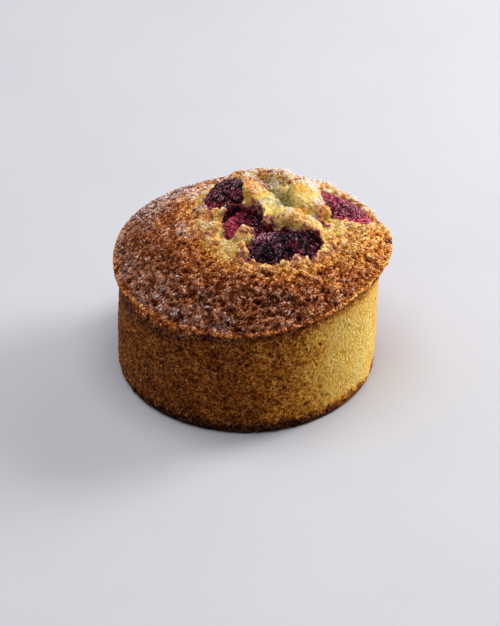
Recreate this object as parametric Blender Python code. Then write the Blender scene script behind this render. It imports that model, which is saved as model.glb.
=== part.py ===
"""A round financier cake with a cracked crown and four berries baked into it.

All sizes are in millimetres and become metres where the meshes are made. The origin is the centre
of the flat base, +Z is up, and the shown front of the cake faces -Y.
"""

import math
from math import pi

import bmesh
import bpy
import numpy as np
from mathutils import Vector, noise

MM = 0.001

# Driving dimensions of the body
WALL_RADIUS = 33.5
RIM_HEIGHT = 32.0
RIM_RISE_X = 0.10
RIM_RISE_Y = 0.035
CROWN_X = 8.5
CROWN_Y = 6.5
CROWN_HEIGHT = 11.0
CROWN_POWER = 2.4
FOOT_HEIGHT = 1.3
FOOT_INSET = 0.8
RIM_OVERHANG = 1.6
RIM_SHIFT_X = 0.9
RIM_SHIFT_Y = 1.5
WALL_TAPER = 1.2
WALL_BELLY = 0.5
FLARE_LOW = 0.7
FLARE_HIGH = 2.2
LIP_DROP = 2.6

# How fast the crust's underside runs back to the wall: at its crisp edge, and at its soft right lip
CRISP_SPEED = 2.0
CRISP_POWER = 0.75
SOFT_SPEED = 1.35
SOFT_POWER = 0.9

# Swells round the body, each a size, a compass angle and a width in degrees: rises and overhangs
# of the crust's edge, depth of its underside, flare of the wall and lift of the bottom edge
RIM_WAVES = [(1.0, 150, 38), (1.8, 4, 16)]
RIM_SWELLS = [(2.4, -5, 18), (-0.9, 38, 22), (1.5, 140, 32), (-1.9, -132, 24)]
LIP_SWELLS = [(5.6, -5, 30), (3.4, 180, 50)]
FLARE_SWELL = [(1.0, -5, 38)]
SOFT_LIP = [(1.0, -5, 45)]
FOOT_SWELL = [(0.8, -130, 40)]

# Share of the radius from which the crust's edge rises in waves, and how finely the distance
# from the crown to the rim is found
WAVE_START = 0.4
HALVINGS = 36
BEARING_STEPS = 360

# Grid of the body: spokes round the crown, rings from the crown out to the rim
SPOKES = 90
CROWN_RINGS = 22
CRUST_RINGS = 8
WALL_RINGS = 6
CROWN_SHARE = 0.66

# Rings of the crust's underside, as shares of the way down, and of the rounded bottom edge, as
# shares of its inset and height
LIP_SHARES = (0.18, 0.5)
FOOT_PROFILE = ((0.3, 0.3), (1.0, 0.0))

# Low relief of the crust and of the wall, and what brings the noise to about -1..1
NOISE_GAIN = 1.6
CRUST_LUMP = 0.35
CRUST_LUMP_WIDTH = 4.2
WALL_LUMP = 0.22
WALL_LUMP_WIDTH = 7.0

# The split crown: where the crust has opened and the pale crumb has risen in lobes
SPLIT_RADIUS = 17.5
SPLIT_DEPTH = 1.3
SPLIT_EDGE = 2.0

# Rounding between two lobes, how deep a lobe is rooted in the crown, and how square its section is
CREASE = 0.5
LOBE_ROOT = 1.9
LOBE_POWER = 3.0

# Each lobe follows a path of points on the top: path, half width, height over the crust
LOBES = {
    "left ridge": ([(1.2, 19.5), (3.0, 13.5), (5.2, 8.5), (6.2, 1.2)], 3.3, 1.8),
    "ridge foot": ([(5.4, 9.6), (7.0, 4.6)], 2.9, 1.6),
    "big mound": ([(15.2, 13.2), (15.7, 9.4), (15.9, 6.0)], 4.4, 2.3),
    "mound crest": ([(16.6, 17.4), (18.9, 11.8), (20.2, 6.4), (20.7, 3.6)], 2.3, 1.4),
    "arch": ([(8.4, 1.0), (12.4, 0.4), (15.2, -1.2), (18.8, -5.2)], 2.6, 1.6),
    "arch head": ([(9.8, 1.0), (12.6, 0.5)], 3.2, 2.3),
    "west lump": ([(-8.6, 6.4), (-6.2, 5.6)], 2.4, 1.2),
    "tongue lump": ([(-7.4, 1.4), (-6.6, -0.2)], 1.9, 0.7),
    "west rim lump": ([(-12.0, 9.6), (-10.8, 7.8)], 2.2, 0.8),
    "south west lump": ([(-9.4, -0.6), (-8.0, -6.0)], 2.4, 0.5),
    "centre lump": ([(-0.6, -3.8), (1.6, -4.8)], 2.2, 1.6),
    "low lump": ([(-1.0, -9.0), (-0.6, -11.6)], 2.1, 1.0),
    "east lump": ([(21.6, -4.0), (22.4, -8.0)], 2.5, 0.4),
    "south lump": ([(13.0, -15.6), (7.0, -17.4)], 2.0, 0.3),
    "rear crust": ([(-1.0, 26.0), (4.0, 26.6), (9.5, 24.4)], 4.0, 1.9),
    "rear right crust": ([(21.0, 18.4), (26.8, 15.2), (31.6, 9.6)], 3.2, 1.6),
}

# Each furrow sinks along a path: path, half width, depth
FURROWS = {
    "left valley": ([(5.8, 19.4), (9.8, 12.6), (10.2, 6.4)], 1.9, 3.0),
    "yellow pit": ([(-6.0, -3.0), (-5.6, -4.6)], 1.9, 1.0),
    "sliver groove": ([(18.4, 1.2), (20.9, -3.4)], 1.3, 1.2),
    "brim": ([(32.8, 8.0), (34.2, 4.0), (33.6, -2.0)], 2.6, 1.5),
}

# Each berry: opening on the top, depth of the opening, place of its shoulder under the crust,
# rise of its top over the shoulder, depth of its underside, any seam across it, and its lumps,
# each with a place, radius and height
BERRIES = {
    "berry_left": {
        "opening": [(-10.0, 11.5), (-9.3, 16.5), (-6.6, 20.6), (-3.2, 22.8), (-0.7, 21.8), (-0.8, 16.8),
                    (-1.6, 13.4), (-4.6, 12.2), (-7.0, 11.0), (-9.2, 9.8)],
        "hollow": 2.2, "shoulder": 1.5, "rise": 2.5, "under": 6.6, "seam": None,
        "lumps": [((-4.6, 18.0), 4.2, 1.0)],
    },
    "berry_middle": {
        "opening": [(-1.2, 10.4), (1.6, 9.0), (4.0, 4.8), (5.6, 0.8), (3.6, -1.6), (-0.4, -1.8),
                    (-3.4, -2.4), (-4.8, 0.8), (-4.6, 5.0), (-3.8, 9.4)],
        "hollow": 4.6, "shoulder": 4.9, "rise": 1.6, "under": 5.0, "seam": None,
        "lumps": [((-3.9, 2.4), 3.2, 2.6), ((-1.0, 5.4), 2.0, 0.6)],
    },
    "berry_front": {
        "opening": [(0.8, -8.0), (1.8, -4.6), (4.8, -2.8), (9.0, -2.9), (13.0, -3.6), (16.6, -5.2),
                    (19.4, -7.8), (19.0, -10.2), (16.0, -12.4), (12.4, -12.2), (9.8, -13.6),
                    (6.4, -14.6), (3.4, -14.0), (1.1, -11.4)],
        "hollow": 3.0, "shoulder": 3.2, "rise": 2.6, "under": 6.4, "seam": ((8.5, -5.4), (12.5, -13.0)),
        "lumps": [((5.4, -9.4), 4.2, 1.0), ((14.0, -6.8), 4.6, 0.9)],
    },
    "berry_right": {
        "opening": [(19.6, 14.6), (22.0, 13.8), (25.2, 13.0), (28.4, 11.6), (31.2, 8.2), (31.8, 3.6),
                    (29.4, 0.6), (25.8, 1.2), (22.8, 2.6), (21.3, 4.2), (20.6, 8.4)],
        "hollow": 2.0, "shoulder": 1.7, "rise": 1.6, "under": 6.4, "seam": None,
        "lumps": [((23.5, 8.6), 3.4, 1.0), ((28.4, 5.4), 3.0, 0.8)],
    },
}

# Grid, spread under the crust and low relief of the berries, and the seam across one of them
BERRY_SPOKES = 24
BERRY_RINGS = 13
BERRY_SPREAD = 1.08
BERRY_LUMP = 0.45
BERRY_LUMP_WIDTH = 2.4
SEAM_DEPTH = 1.0
SEAM_WIDTH = 1.1

# Gap between a berry and its socket, and width of the slope at an opening's edge
SOCKET_GAP = 0.35
OPENING_EDGE = 0.9

# Roundness of a berry's profile, and the tilts between which its lumps fade out below its shoulder
BERRY_POWER = 0.8
LUMP_END = -0.9
LUMP_FADE = 0.8

# Colours, linear, and roughness
CAKE_ROUGHNESS = 0.62
BERRY_ROUGHNESS = 0.45
CAKE_COLOUR = (0.42, 0.20, 0.055, 1.0)
DARK_BERRY = (0.030, 0.004, 0.014, 1.0)
RED_BERRY = (0.160, 0.010, 0.030, 1.0)
DARK_BERRIES = ("berry_left", "berry_front")


def turned(angle):
    """An angle brought into -pi..pi."""
    return (angle + pi) % (2 * pi) - pi


def swell(angle, at, width):
    """A smooth bump of 1 round the compass angle at, in degrees."""
    return np.exp(-(turned(angle - np.radians(at)) / np.radians(width)) ** 2)


def swells(angle, rows):
    """Sum of swells, each with its size, compass angle and width."""
    return sum(size * swell(angle, at, width) for size, at, width in rows)


def ease(value):
    """A smooth step from 0 to 1."""
    share = np.clip(value, 0.0, 1.0)
    return share * share * (3.0 - 2.0 * share)


def grain(x, y, z, width):
    """Smooth seeded noise, about -1..1, one lump every few widths."""
    flat = np.stack([np.ravel(x), np.ravel(y), np.ravel(z)], 1) / width
    values = np.array([noise.noise(Vector(place)) for place in flat])
    return NOISE_GAIN * values.reshape(np.shape(x))


def rim_radius(angle):
    """Outline of the crust's edge, which hangs out over the wall, most at the right-hand lip."""
    shift = RIM_SHIFT_X * np.cos(angle) + RIM_SHIFT_Y * np.sin(angle)
    return WALL_RADIUS + RIM_OVERHANG + shift + swells(angle, RIM_SWELLS)


def rim_height(x, y):
    """Height of the crust's edge, which stands higher to the right and to the back."""
    angle = np.arctan2(y, x)
    out = ease((np.hypot(x, y) / WALL_RADIUS - WAVE_START) / (1.0 - WAVE_START))
    return RIM_HEIGHT + RIM_RISE_X * x + RIM_RISE_Y * y + out * swells(angle, RIM_WAVES)


def reach(bearing):
    """Distance from the crown to the rim along a bearing."""
    low = np.zeros_like(bearing)
    high = np.full_like(bearing, 2 * WALL_RADIUS)
    for _ in range(HALVINGS):
        middle = (low + high) / 2
        x = CROWN_X + middle * np.cos(bearing)
        y = CROWN_Y + middle * np.sin(bearing)
        inside = np.hypot(x, y) < rim_radius(np.arctan2(y, x))
        low = np.where(inside, middle, low)
        high = np.where(inside, high, middle)
    return low


BEARINGS = np.linspace(-pi, pi, BEARING_STEPS + 1)
REACHES = reach(BEARINGS)


def dome(x, y):
    """Height of the top without its lobes: a crown that falls away to the rim."""
    away = np.hypot(x - CROWN_X, y - CROWN_Y)
    share = away / np.interp(np.arctan2(y - CROWN_Y, x - CROWN_X), BEARINGS, REACHES)
    return rim_height(x, y) + CROWN_HEIGHT * (1.0 - np.clip(share, 0.0, 1.0) ** CROWN_POWER)


def path_distance(x, y, path):
    """Distance from each place to a path of points."""
    nearest = np.hypot(x - path[0][0], y - path[0][1])
    for (ax, ay), (bx, by) in zip(path, path[1:]):
        along = ((x - ax) * (bx - ax) + (y - ay) * (by - ay)) / ((bx - ax) ** 2 + (by - ay) ** 2)
        along = np.clip(along, 0.0, 1.0)
        nearest = np.minimum(nearest, np.hypot(x - ax - along * (bx - ax), y - ay - along * (by - ay)))
    return nearest


def outline_of(points):
    """Centre of a ring of points, and its radius as a function of the bearing."""
    ring = np.array(points)
    centre = ring.mean(axis=0)
    bearing = np.arctan2(ring[:, 1] - centre[1], ring[:, 0] - centre[0])
    radius = np.hypot(ring[:, 0] - centre[0], ring[:, 1] - centre[1])
    order = np.argsort(bearing)
    return centre, bearing[order], radius[order]


def opening_depth(x, y, berry):
    """How far the crust is sunk at a berry's opening."""
    centre, bearing, radius = outline_of(berry["opening"])
    around = np.arctan2(y - centre[1], x - centre[0])
    edge = np.interp(around, bearing, radius, period=2 * pi)
    inside = edge - np.hypot(x - centre[0], y - centre[1])
    return berry["hollow"] * ease(0.5 + inside / OPENING_EDGE)


def soft_max(first, second):
    """The higher of two surfaces, with the crease between them rounded."""
    near = np.clip(CREASE - np.abs(first - second), 0.0, None)
    return np.maximum(first, second) + near * near / (4 * CREASE)


def split_depth(x, y):
    """Depth of the split crown below the crust that once covered it."""
    away = np.hypot(x - CROWN_X, y - CROWN_Y)
    return SPLIT_DEPTH * ease(0.5 + (SPLIT_RADIUS - away) / SPLIT_EDGE)


def top_height(x, y):
    """Height of the top with its split, lobes, lumps and openings."""
    relief = -split_depth(x, y)
    for path, half_width, depth in FURROWS.values():
        relief = relief - depth * np.exp(-(path_distance(x, y, path) / half_width) ** 2)
    for path, half_width, height in LOBES.values():
        away = path_distance(x, y, path) / half_width
        lobe = (height + LOBE_ROOT) * np.sqrt(np.clip(1.0 - away ** LOBE_POWER, 0.0, None)) - LOBE_ROOT
        relief = soft_max(relief, lobe)
    for berry in BERRIES.values():
        relief = relief - opening_depth(x, y, berry)
    return dome(x, y) + relief + CRUST_LUMP * grain(x, y, 0 * x, CRUST_LUMP_WIDTH)


def wall_radius(angle, height):
    """Radius of the wall, which flares to the right and draws in a little under the crust."""
    up = np.clip(height / RIM_HEIGHT, 0.0, 1.1)
    radius = WALL_RADIUS - WALL_TAPER * ease(up) + WALL_BELLY * np.sin(pi * np.clip(up, 0.0, 1.0))
    radius = radius + (FLARE_LOW + FLARE_HIGH * up * up) * swells(angle, FLARE_SWELL)
    lumps = grain(radius * np.cos(angle), radius * np.sin(angle), height, WALL_LUMP_WIDTH)
    return radius + WALL_LUMP * lumps


def lip_drop(angle):
    """Height over which the crust's underside runs back to the wall."""
    return LIP_DROP + swells(angle, LIP_SWELLS)


def lip_out(angle, down):
    """Share of the overhang left at a share of the way down: a crisp edge, softer at the flare."""
    crisp = 1.0 - min(1.0, CRISP_SPEED * down) ** CRISP_POWER
    soft = 1.0 - ease(SOFT_SPEED * down) ** SOFT_POWER
    return crisp + (soft - crisp) * swells(angle, SOFT_LIP)


def foot_lift(angle):
    """Height of the rounded bottom edge, which stands clearer at the front left."""
    return FOOT_HEIGHT + swells(angle, FOOT_SWELL)


def wall_ring(angle, share):
    """One ring of the wall, from the rim at share 0 down to the foot at share 1."""
    edge_x = rim_radius(angle) * np.cos(angle)
    edge_y = rim_radius(angle) * np.sin(angle)
    rim = top_height(edge_x, edge_y)
    drop = lip_drop(angle)
    foot = foot_lift(angle)
    height = rim - drop - share * (rim - drop - foot)
    return wall_radius(angle, height), height


def body_rings():
    """Rings of points of the cake, from the crown over the rim and down to the base."""
    bearing = np.linspace(-pi, pi, SPOKES, endpoint=False)
    far = reach(bearing)
    shares = list(np.linspace(0.0, CROWN_SHARE, CROWN_RINGS + 1)[1:])
    shares += list(np.linspace(CROWN_SHARE, 1.0, CRUST_RINGS + 1)[1:])
    rings = []
    for share in shares:
        x = CROWN_X + share * far * np.cos(bearing)
        y = CROWN_Y + share * far * np.sin(bearing)
        rings.append((x, y, top_height(x, y)))
    angle = np.arctan2(rings[-1][1], rings[-1][0])
    rim = rings[-1][2]
    edge = rim_radius(angle)
    drop = lip_drop(angle)
    wall_top = wall_radius(angle, rim - drop)
    for down in LIP_SHARES:
        radius = wall_top + lip_out(angle, down) * (edge - wall_top)
        rings.append((radius * np.cos(angle), radius * np.sin(angle), rim - down * drop))
    for share in np.linspace(0.0, 1.0, WALL_RINGS + 1):
        radius, height = wall_ring(angle, share)
        rings.append((radius * np.cos(angle), radius * np.sin(angle), height))
    foot = foot_lift(angle)
    foot_radius = wall_radius(angle, foot)
    for inset, up in FOOT_PROFILE:
        radius = foot_radius - inset * FOOT_INSET
        rings.append((radius * np.cos(angle), radius * np.sin(angle), up * foot))
    return rings


def closed_mesh(name, rings, first_point, last_point):
    """A closed mesh from rings of points and a point at each end."""
    mesh = bmesh.new()
    rows = []
    for x, y, z in rings:
        row = [mesh.verts.new((px * MM, py * MM, pz * MM)) for px, py, pz in zip(x, y, z)]
        rows.append(row)
    start = mesh.verts.new([value * MM for value in first_point])
    end = mesh.verts.new([value * MM for value in last_point])
    count = len(rows[0])
    for i in range(count):
        after = (i + 1) % count
        mesh.faces.new((start, rows[0][i], rows[0][after]))
        mesh.faces.new((end, rows[-1][after], rows[-1][i]))
        for upper, lower in zip(rows, rows[1:]):
            mesh.faces.new((upper[i], lower[i], lower[after], upper[after]))
    bmesh.ops.triangulate(mesh, faces=mesh.faces[:])
    bmesh.ops.recalc_face_normals(mesh, faces=mesh.faces[:])
    data = bpy.data.meshes.new(name)
    mesh.to_mesh(data)
    mesh.free()
    for polygon in data.polygons:
        polygon.use_smooth = True
    return data


def berry_rings(berry, grow):
    """Rings of a berry from its top to its underside, grown outward by a gap for its socket."""
    centre, bearing, radius = outline_of(berry["opening"])
    around = np.linspace(-pi, pi, BERRY_SPOKES, endpoint=False)
    spread = BERRY_SPREAD * np.interp(around, bearing, radius, period=2 * pi)
    rings = []
    for tilt in np.linspace(pi / 2, -pi / 2, BERRY_RINGS + 2)[1:-1]:
        out = (spread + grow) * math.cos(tilt) ** BERRY_POWER
        x = centre[0] + out * np.cos(around)
        y = centre[1] + out * np.sin(around)
        rings.append((x, y, berry_height(x, y, tilt, berry, grow)))
    return centre, rings


def berry_height(x, y, tilt, berry, grow):
    """Height on a berry at a tilt from its shoulder, with its lumps and its seam."""
    half = berry["rise"] if tilt > 0 else berry["under"]
    height = dome(x, y) - berry["shoulder"] + (half + grow) * math.sin(tilt)
    height = height + BERRY_LUMP * math.sin(tilt) * grain(x, y, 0 * x + tilt, BERRY_LUMP_WIDTH)
    for (at_x, at_y), radius, rise in berry["lumps"]:
        away = np.hypot(x - at_x, y - at_y) / radius
        height = height + rise * ease((tilt - LUMP_END) / LUMP_FADE) * np.exp(-away * away)
    if berry["seam"] and tilt > 0:
        away = path_distance(x, y, berry["seam"]) / SEAM_WIDTH
        height = height - SEAM_DEPTH * math.sin(tilt) * np.exp(-away * away)
    return height


def make_berry(name, berry, grow=0.0):
    """A closed berry body, or the cutter for its socket where it is grown."""
    centre, rings = berry_rings(berry, grow)
    place = (np.array([centre[0]]), np.array([centre[1]]))
    top = float(berry_height(*place, pi / 2, berry, grow)[0])
    underside = float(berry_height(*place, -pi / 2, berry, grow)[0])
    data = closed_mesh(name, rings, (*centre, top), (*centre, underside))
    made = bpy.data.objects.new(name, data)
    bpy.context.scene.collection.objects.link(made)
    return made


def make_material(name, colour, roughness):
    """A plain Principled material."""
    made = bpy.data.materials.new(name)
    made.use_nodes = True
    shader = made.node_tree.nodes["Principled BSDF"]
    shader.inputs["Base Color"].default_value = colour
    shader.inputs["Roughness"].default_value = roughness
    return made


def make_cake():
    """The cake: crust, split crown, wall and flat base as one solid."""
    rings = body_rings()
    crown = (np.array([CROWN_X]), np.array([CROWN_Y]))
    data = closed_mesh("cake", rings, (CROWN_X, CROWN_Y, float(top_height(*crown)[0])), (0.0, 0.0, 0.0))
    cake = bpy.data.objects.new("cake", data)
    bpy.context.scene.collection.objects.link(cake)
    data.materials.append(make_material("crust", CAKE_COLOUR, CAKE_ROUGHNESS))
    return cake


def make_socket(name, berry):
    """The cutter of one berry's socket, with a gap all round the berry."""
    cutter = make_berry(name + "_socket", berry, SOCKET_GAP)
    cutter.hide_render = True
    cutter.display_type = "WIRE"
    return cutter


def cut(solid, cutter):
    """Cut a socket out of a solid."""
    modifier = solid.modifiers.new(cutter.name, "BOOLEAN")
    modifier.operation = "DIFFERENCE"
    modifier.solver = "EXACT"
    modifier.object = cutter


def main():
    for old in list(bpy.data.objects):
        bpy.data.objects.remove(old)
    cake = make_cake()
    dark = make_material("dark berry", DARK_BERRY, BERRY_ROUGHNESS)
    red = make_material("red berry", RED_BERRY, BERRY_ROUGHNESS)
    berries = {}
    sockets = {}
    for name, berry in BERRIES.items():
        berries[name] = make_berry(name, berry)
        berries[name].data.materials.append(dark if name in DARK_BERRIES else red)
        sockets[name] = make_socket(name, berry)
        cut(cake, sockets[name])
    cut(berries["berry_middle"], sockets["berry_left"])
    cut(berries["berry_middle"], sockets["berry_front"])


main()
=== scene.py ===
"""Looks of the financier cake: fine crust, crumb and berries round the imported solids.

Sizes are in millimetres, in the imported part's frame, and become metres where meshes are made.
Browning, juice, sugar and other looks run from 0 to 1. A noise has the width of one lump, and a
shift that gives it its own draw.
"""

import math
from math import pi
from types import SimpleNamespace

import bmesh
import bpy
import numpy as np
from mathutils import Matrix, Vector, noise


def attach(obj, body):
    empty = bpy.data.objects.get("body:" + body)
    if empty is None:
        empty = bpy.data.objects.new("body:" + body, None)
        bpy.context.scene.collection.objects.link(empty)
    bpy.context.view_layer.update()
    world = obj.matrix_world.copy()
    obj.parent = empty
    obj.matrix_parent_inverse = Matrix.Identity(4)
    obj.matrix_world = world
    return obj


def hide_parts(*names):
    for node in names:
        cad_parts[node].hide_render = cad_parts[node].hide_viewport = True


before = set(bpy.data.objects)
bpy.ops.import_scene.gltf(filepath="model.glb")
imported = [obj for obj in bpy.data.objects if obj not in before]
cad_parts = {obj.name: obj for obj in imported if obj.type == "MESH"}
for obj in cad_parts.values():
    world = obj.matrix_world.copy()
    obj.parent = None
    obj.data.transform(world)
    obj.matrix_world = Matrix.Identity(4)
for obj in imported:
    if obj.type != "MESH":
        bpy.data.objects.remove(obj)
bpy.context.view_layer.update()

MM = 0.001

# Driving dimensions of the body, as in the solid
WALL_RADIUS = 33.5
RIM_HEIGHT = 32.0
RIM_RISE_X = 0.10
RIM_RISE_Y = 0.035
CROWN_X = 8.5
CROWN_Y = 6.5
CROWN_HEIGHT = 11.0
CROWN_POWER = 2.4
FOOT_HEIGHT = 1.3
FOOT_INSET = 0.8
RIM_OVERHANG = 1.6
RIM_SHIFT_X = 0.9
RIM_SHIFT_Y = 1.5
WALL_TAPER = 1.2
WALL_BELLY = 0.5
HIGHEST_SHARE = 1.1
FLARE_LOW = 0.7
FLARE_HIGH = 2.2
LIP_DROP = 2.6
CRISP_SPEED = 2.0
CRISP_POWER = 0.75
SOFT_SPEED = 1.35
SOFT_POWER = 0.9
RIM_WAVES = [(1.0, 150, 38), (1.8, 4, 16)]
RIM_SWELLS = [(2.4, -5, 18), (-0.9, 38, 22), (1.5, 140, 32), (-1.9, -132, 24)]
LIP_SWELLS = [(5.6, -5, 30), (3.4, 180, 50)]
FLARE_SWELL = [(1.0, -5, 38)]
SOFT_LIP = [(1.0, -5, 45)]
FOOT_SWELL = [(0.8, -130, 40)]
WAVE_START = 0.4
HALVINGS = 36
BEARING_STEPS = 360

# The split crown, its lobes and furrows, as in the solid: path, half width, height or depth
SPLIT_RADIUS = 17.5
SPLIT_DEPTH = 1.3
SPLIT_EDGE = 2.0
CREASE = 0.5
LOBE_ROOT = 1.9
LOBE_POWER = 3.0
LOBES = {
    "left ridge": ([(1.2, 19.5), (3.0, 13.5), (5.2, 8.5), (6.2, 1.2)], 3.3, 1.8),
    "ridge foot": ([(5.4, 9.6), (7.0, 4.6)], 2.9, 1.6),
    "big mound": ([(15.2, 13.2), (15.7, 9.4), (15.9, 6.0)], 4.4, 2.3),
    "mound crest": ([(16.6, 17.4), (18.9, 11.8), (20.2, 6.4), (20.7, 3.6)], 2.3, 1.4),
    "arch": ([(8.4, 1.0), (12.4, 0.4), (15.2, -1.2), (18.8, -5.2)], 2.6, 1.6),
    "arch head": ([(9.8, 1.0), (12.6, 0.5)], 3.2, 2.3),
    "west lump": ([(-8.6, 6.4), (-6.2, 5.6)], 2.4, 1.2),
    "tongue lump": ([(-7.4, 1.4), (-6.6, -0.2)], 1.9, 0.7),
    "west rim lump": ([(-12.0, 9.6), (-10.8, 7.8)], 2.2, 0.8),
    "south west lump": ([(-9.4, -0.6), (-8.0, -6.0)], 2.4, 0.5),
    "centre lump": ([(-0.6, -3.8), (1.6, -4.8)], 2.2, 1.6),
    "low lump": ([(-1.0, -9.0), (-0.6, -11.6)], 2.1, 1.0),
    "east lump": ([(21.6, -4.0), (22.4, -8.0)], 2.5, 0.4),
    "south lump": ([(13.0, -15.6), (7.0, -17.4)], 2.0, 0.3),
    "rear crust": ([(-1.0, 26.0), (4.0, 26.6), (9.5, 24.4)], 4.0, 1.9),
    "rear right crust": ([(21.0, 18.4), (26.8, 15.2), (31.6, 9.6)], 3.2, 1.6),
}
FURROWS = {
    "left valley": ([(5.8, 19.4), (9.8, 12.6), (10.2, 6.4)], 1.9, 3.0),
    "yellow pit": ([(-6.0, -3.0), (-5.6, -4.6)], 1.9, 1.0),
    "sliver groove": ([(18.4, 1.2), (20.9, -3.4)], 1.3, 1.2),
    "brim": ([(32.8, 8.0), (34.2, 4.0), (33.6, -2.0)], 2.6, 1.5),
}

# The berries, as in the solid: opening, depths and heights, a seam or none, and lumps
BERRIES = {
    "berry_left": {
        "opening": [(-10.0, 11.5), (-9.3, 16.5), (-6.6, 20.6), (-3.2, 22.8), (-0.7, 21.8), (-0.8, 16.8),
                    (-1.6, 13.4), (-4.6, 12.2), (-7.0, 11.0), (-9.2, 9.8)],
        "hollow": 2.2, "shoulder": 1.5, "rise": 2.5, "under": 6.6, "seam": None,
        "lumps": [((-4.6, 18.0), 4.2, 1.0)],
    },
    "berry_middle": {
        "opening": [(-1.2, 10.4), (1.6, 9.0), (4.0, 4.8), (5.6, 0.8), (3.6, -1.6), (-0.4, -1.8),
                    (-3.4, -2.4), (-4.8, 0.8), (-4.6, 5.0), (-3.8, 9.4)],
        "hollow": 4.6, "shoulder": 4.9, "rise": 1.6, "under": 5.0, "seam": None,
        "lumps": [((-3.9, 2.4), 3.2, 2.6), ((-1.0, 5.4), 2.0, 0.6)],
    },
    "berry_front": {
        "opening": [(0.8, -8.0), (1.8, -4.6), (4.8, -2.8), (9.0, -2.9), (13.0, -3.6), (16.6, -5.2),
                    (19.4, -7.8), (19.0, -10.2), (16.0, -12.4), (12.4, -12.2), (9.8, -13.6),
                    (6.4, -14.6), (3.4, -14.0), (1.1, -11.4)],
        "hollow": 3.0, "shoulder": 3.2, "rise": 2.6, "under": 6.4, "seam": ((8.5, -5.4), (12.5, -13.0)),
        "lumps": [((5.4, -9.4), 4.2, 1.0), ((14.0, -6.8), 4.6, 0.9)],
    },
    "berry_right": {
        "opening": [(19.6, 14.6), (22.0, 13.8), (25.2, 13.0), (28.4, 11.6), (31.2, 8.2), (31.8, 3.6),
                    (29.4, 0.6), (25.8, 1.2), (22.8, 2.6), (21.3, 4.2), (20.6, 8.4)],
        "hollow": 2.0, "shoulder": 1.7, "rise": 1.6, "under": 6.4, "seam": None,
        "lumps": [((23.5, 8.6), 3.4, 1.0), ((28.4, 5.4), 3.0, 0.8)],
    },
}
BERRY_SPREAD = 1.08
SEAM_DEPTH = 1.0
SEAM_WIDTH = 1.1
OPENING_EDGE = 1.5

# Fine grid of the cake, closer together in its middle
TOP_CELLS = 300
GRID_MIDDLE = 0.86
LIP_RINGS = 8
TOP_LIP_RINGS = 3
WALL_RINGS = 104
FOOT_RINGS = 4
BASE_RINGS = 6

# Lobes that hang over the openings beside them, and how far
LEANS = {
    "left ridge": (-1.0, -0.3),
    "arch": (0.0, -0.2),
    "centre lump": (0.2, 0.3),
    "west lump": (0.4, -0.1),
}

# Lobes with a smooth skin, and how smooth
SMOOTH_LOBES = {"left ridge": 0.55, "big mound": 1.0, "mound crest": 0.6, "arch": 0.5}

# Pale crumb of the split crown, and how far outside it the crust takes to turn brown, by bearing
CRUMB = [(-12.6, 9.0), (-13.0, 13.0), (-12.0, 18.0), (-8.0, 23.0), (-2.0, 25.0), (5.0, 24.6), (12.0, 22.4),
         (20.0, 19.0), (27.0, 14.6), (32.0, 9.0), (33.0, 3.0), (29.5, -2.6), (26.0, -7.4), (22.0, -11.6),
         (17.0, -15.0), (10.0, -16.6), (3.0, -16.4), (-2.0, -14.4), (-6.0, -11.0), (-9.0, -5.5),
         (-11.4, 0.0), (-12.2, 5.0)]
BROWNING = [(-180, 10.0), (-150, 8.0), (-120, 5.5), (-90, 5.5), (-65, 7.5), (-45, 15.0), (-15, 18.0),
            (20, 12.0), (60, 10.0), (100, 9.0), (140, 12.0), (180, 10.0)]

# Change of the crust's browning by compass angle
CRUST_TINT = [(-180, -0.01), (-130, 0.0), (-100, 0.04), (-75, 0.03), (-45, -0.04), (-10, -0.10),
              (40, -0.06), (80, 0.0), (150, -0.03), (180, -0.01)]

# Browner and paler places on the crown: path, half width, change of browning
TOASTS = [
    ([(-11.0, 6.6), (-8.0, 2.0)], 2.2, 0.10),
    ([(-9.6, -1.0), (-8.6, -4.0)], 1.6, 0.20),
    ([(-0.8, -3.8), (1.8, -4.8)], 2.1, 0.29),
    ([(-2.0, -14.0), (4.0, -15.8), (11.0, -16.4), (17.0, -14.6), (21.6, -11.0)], 3.0, 0.28),
    ([(-10.6, 9.0), (-6.6, 6.0), (-5.6, 1.0)], 2.2, 0.06),
    # The band below browns the low lump and also paints the shade that falls on it
    ([(-1.4, -7.4), (-0.6, -11.4)], 1.7, 0.26),
    ([(0.4, 21.6), (1.4, 16.4), (2.8, 11.4)], 1.5, 0.26),
    ([(15.4, 11.4), (17.8, 7.4), (20.2, 3.0)], 1.6, 0.12),
    ([(-2.0, 25.6), (3.6, 24.9), (9.4, 23.4), (14.0, 21.0)], 2.0, 0.26),
    ([(10.6, 0.6), (13.0, 0.6), (16.0, -1.0)], 1.3, 0.07),
    ([(23.0, 1.0), (26.0, -4.0), (20.0, -10.0)], 3.6, 0.05),
    ([(9.0, 20.0), (9.4, 12.0), (9.4, 7.0)], 1.8, -0.10),
    ([(-6.0, -3.0), (-5.6, -4.8)], 1.8, 0.06),
    ([(7.0, 5.0), (6.4, 1.6)], 1.8, -0.08),
    ([(-6.6, -8.0), (-3.4, -12.0)], 1.6, -0.06),
]

# Small burnt specks at the crust's edge
BURNS = [
    ([(34.8, 8.4), (35.4, 8.0)], 0.6, 0.7),
    ([(37.4, -1.4), (38.4, -0.4)], 0.9, 0.7),
]

# Darker, greener crumb in the valleys and creases, partly a wetter tint and partly painted shade: path,
# half width, strength
MOIST_CRUMB_AND_SHADE = [
    ([(4.8, 20.4), (9.6, 13.4), (10.2, 5.6)], 2.1, 1.4),
    ([(10.4, 4.8), (14.0, 3.8), (18.4, 2.6)], 0.9, 0.40),
    ([(9.0, 20.0), (14.0, 18.6)], 1.6, 0.4),
    ([(17.4, 17.0), (19.6, 11.0), (20.6, 6.0)], 2.2, 0.22),
    ([(15.2, 13.0), (15.9, 6.0)], 3.2, 0.12),
]

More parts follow.
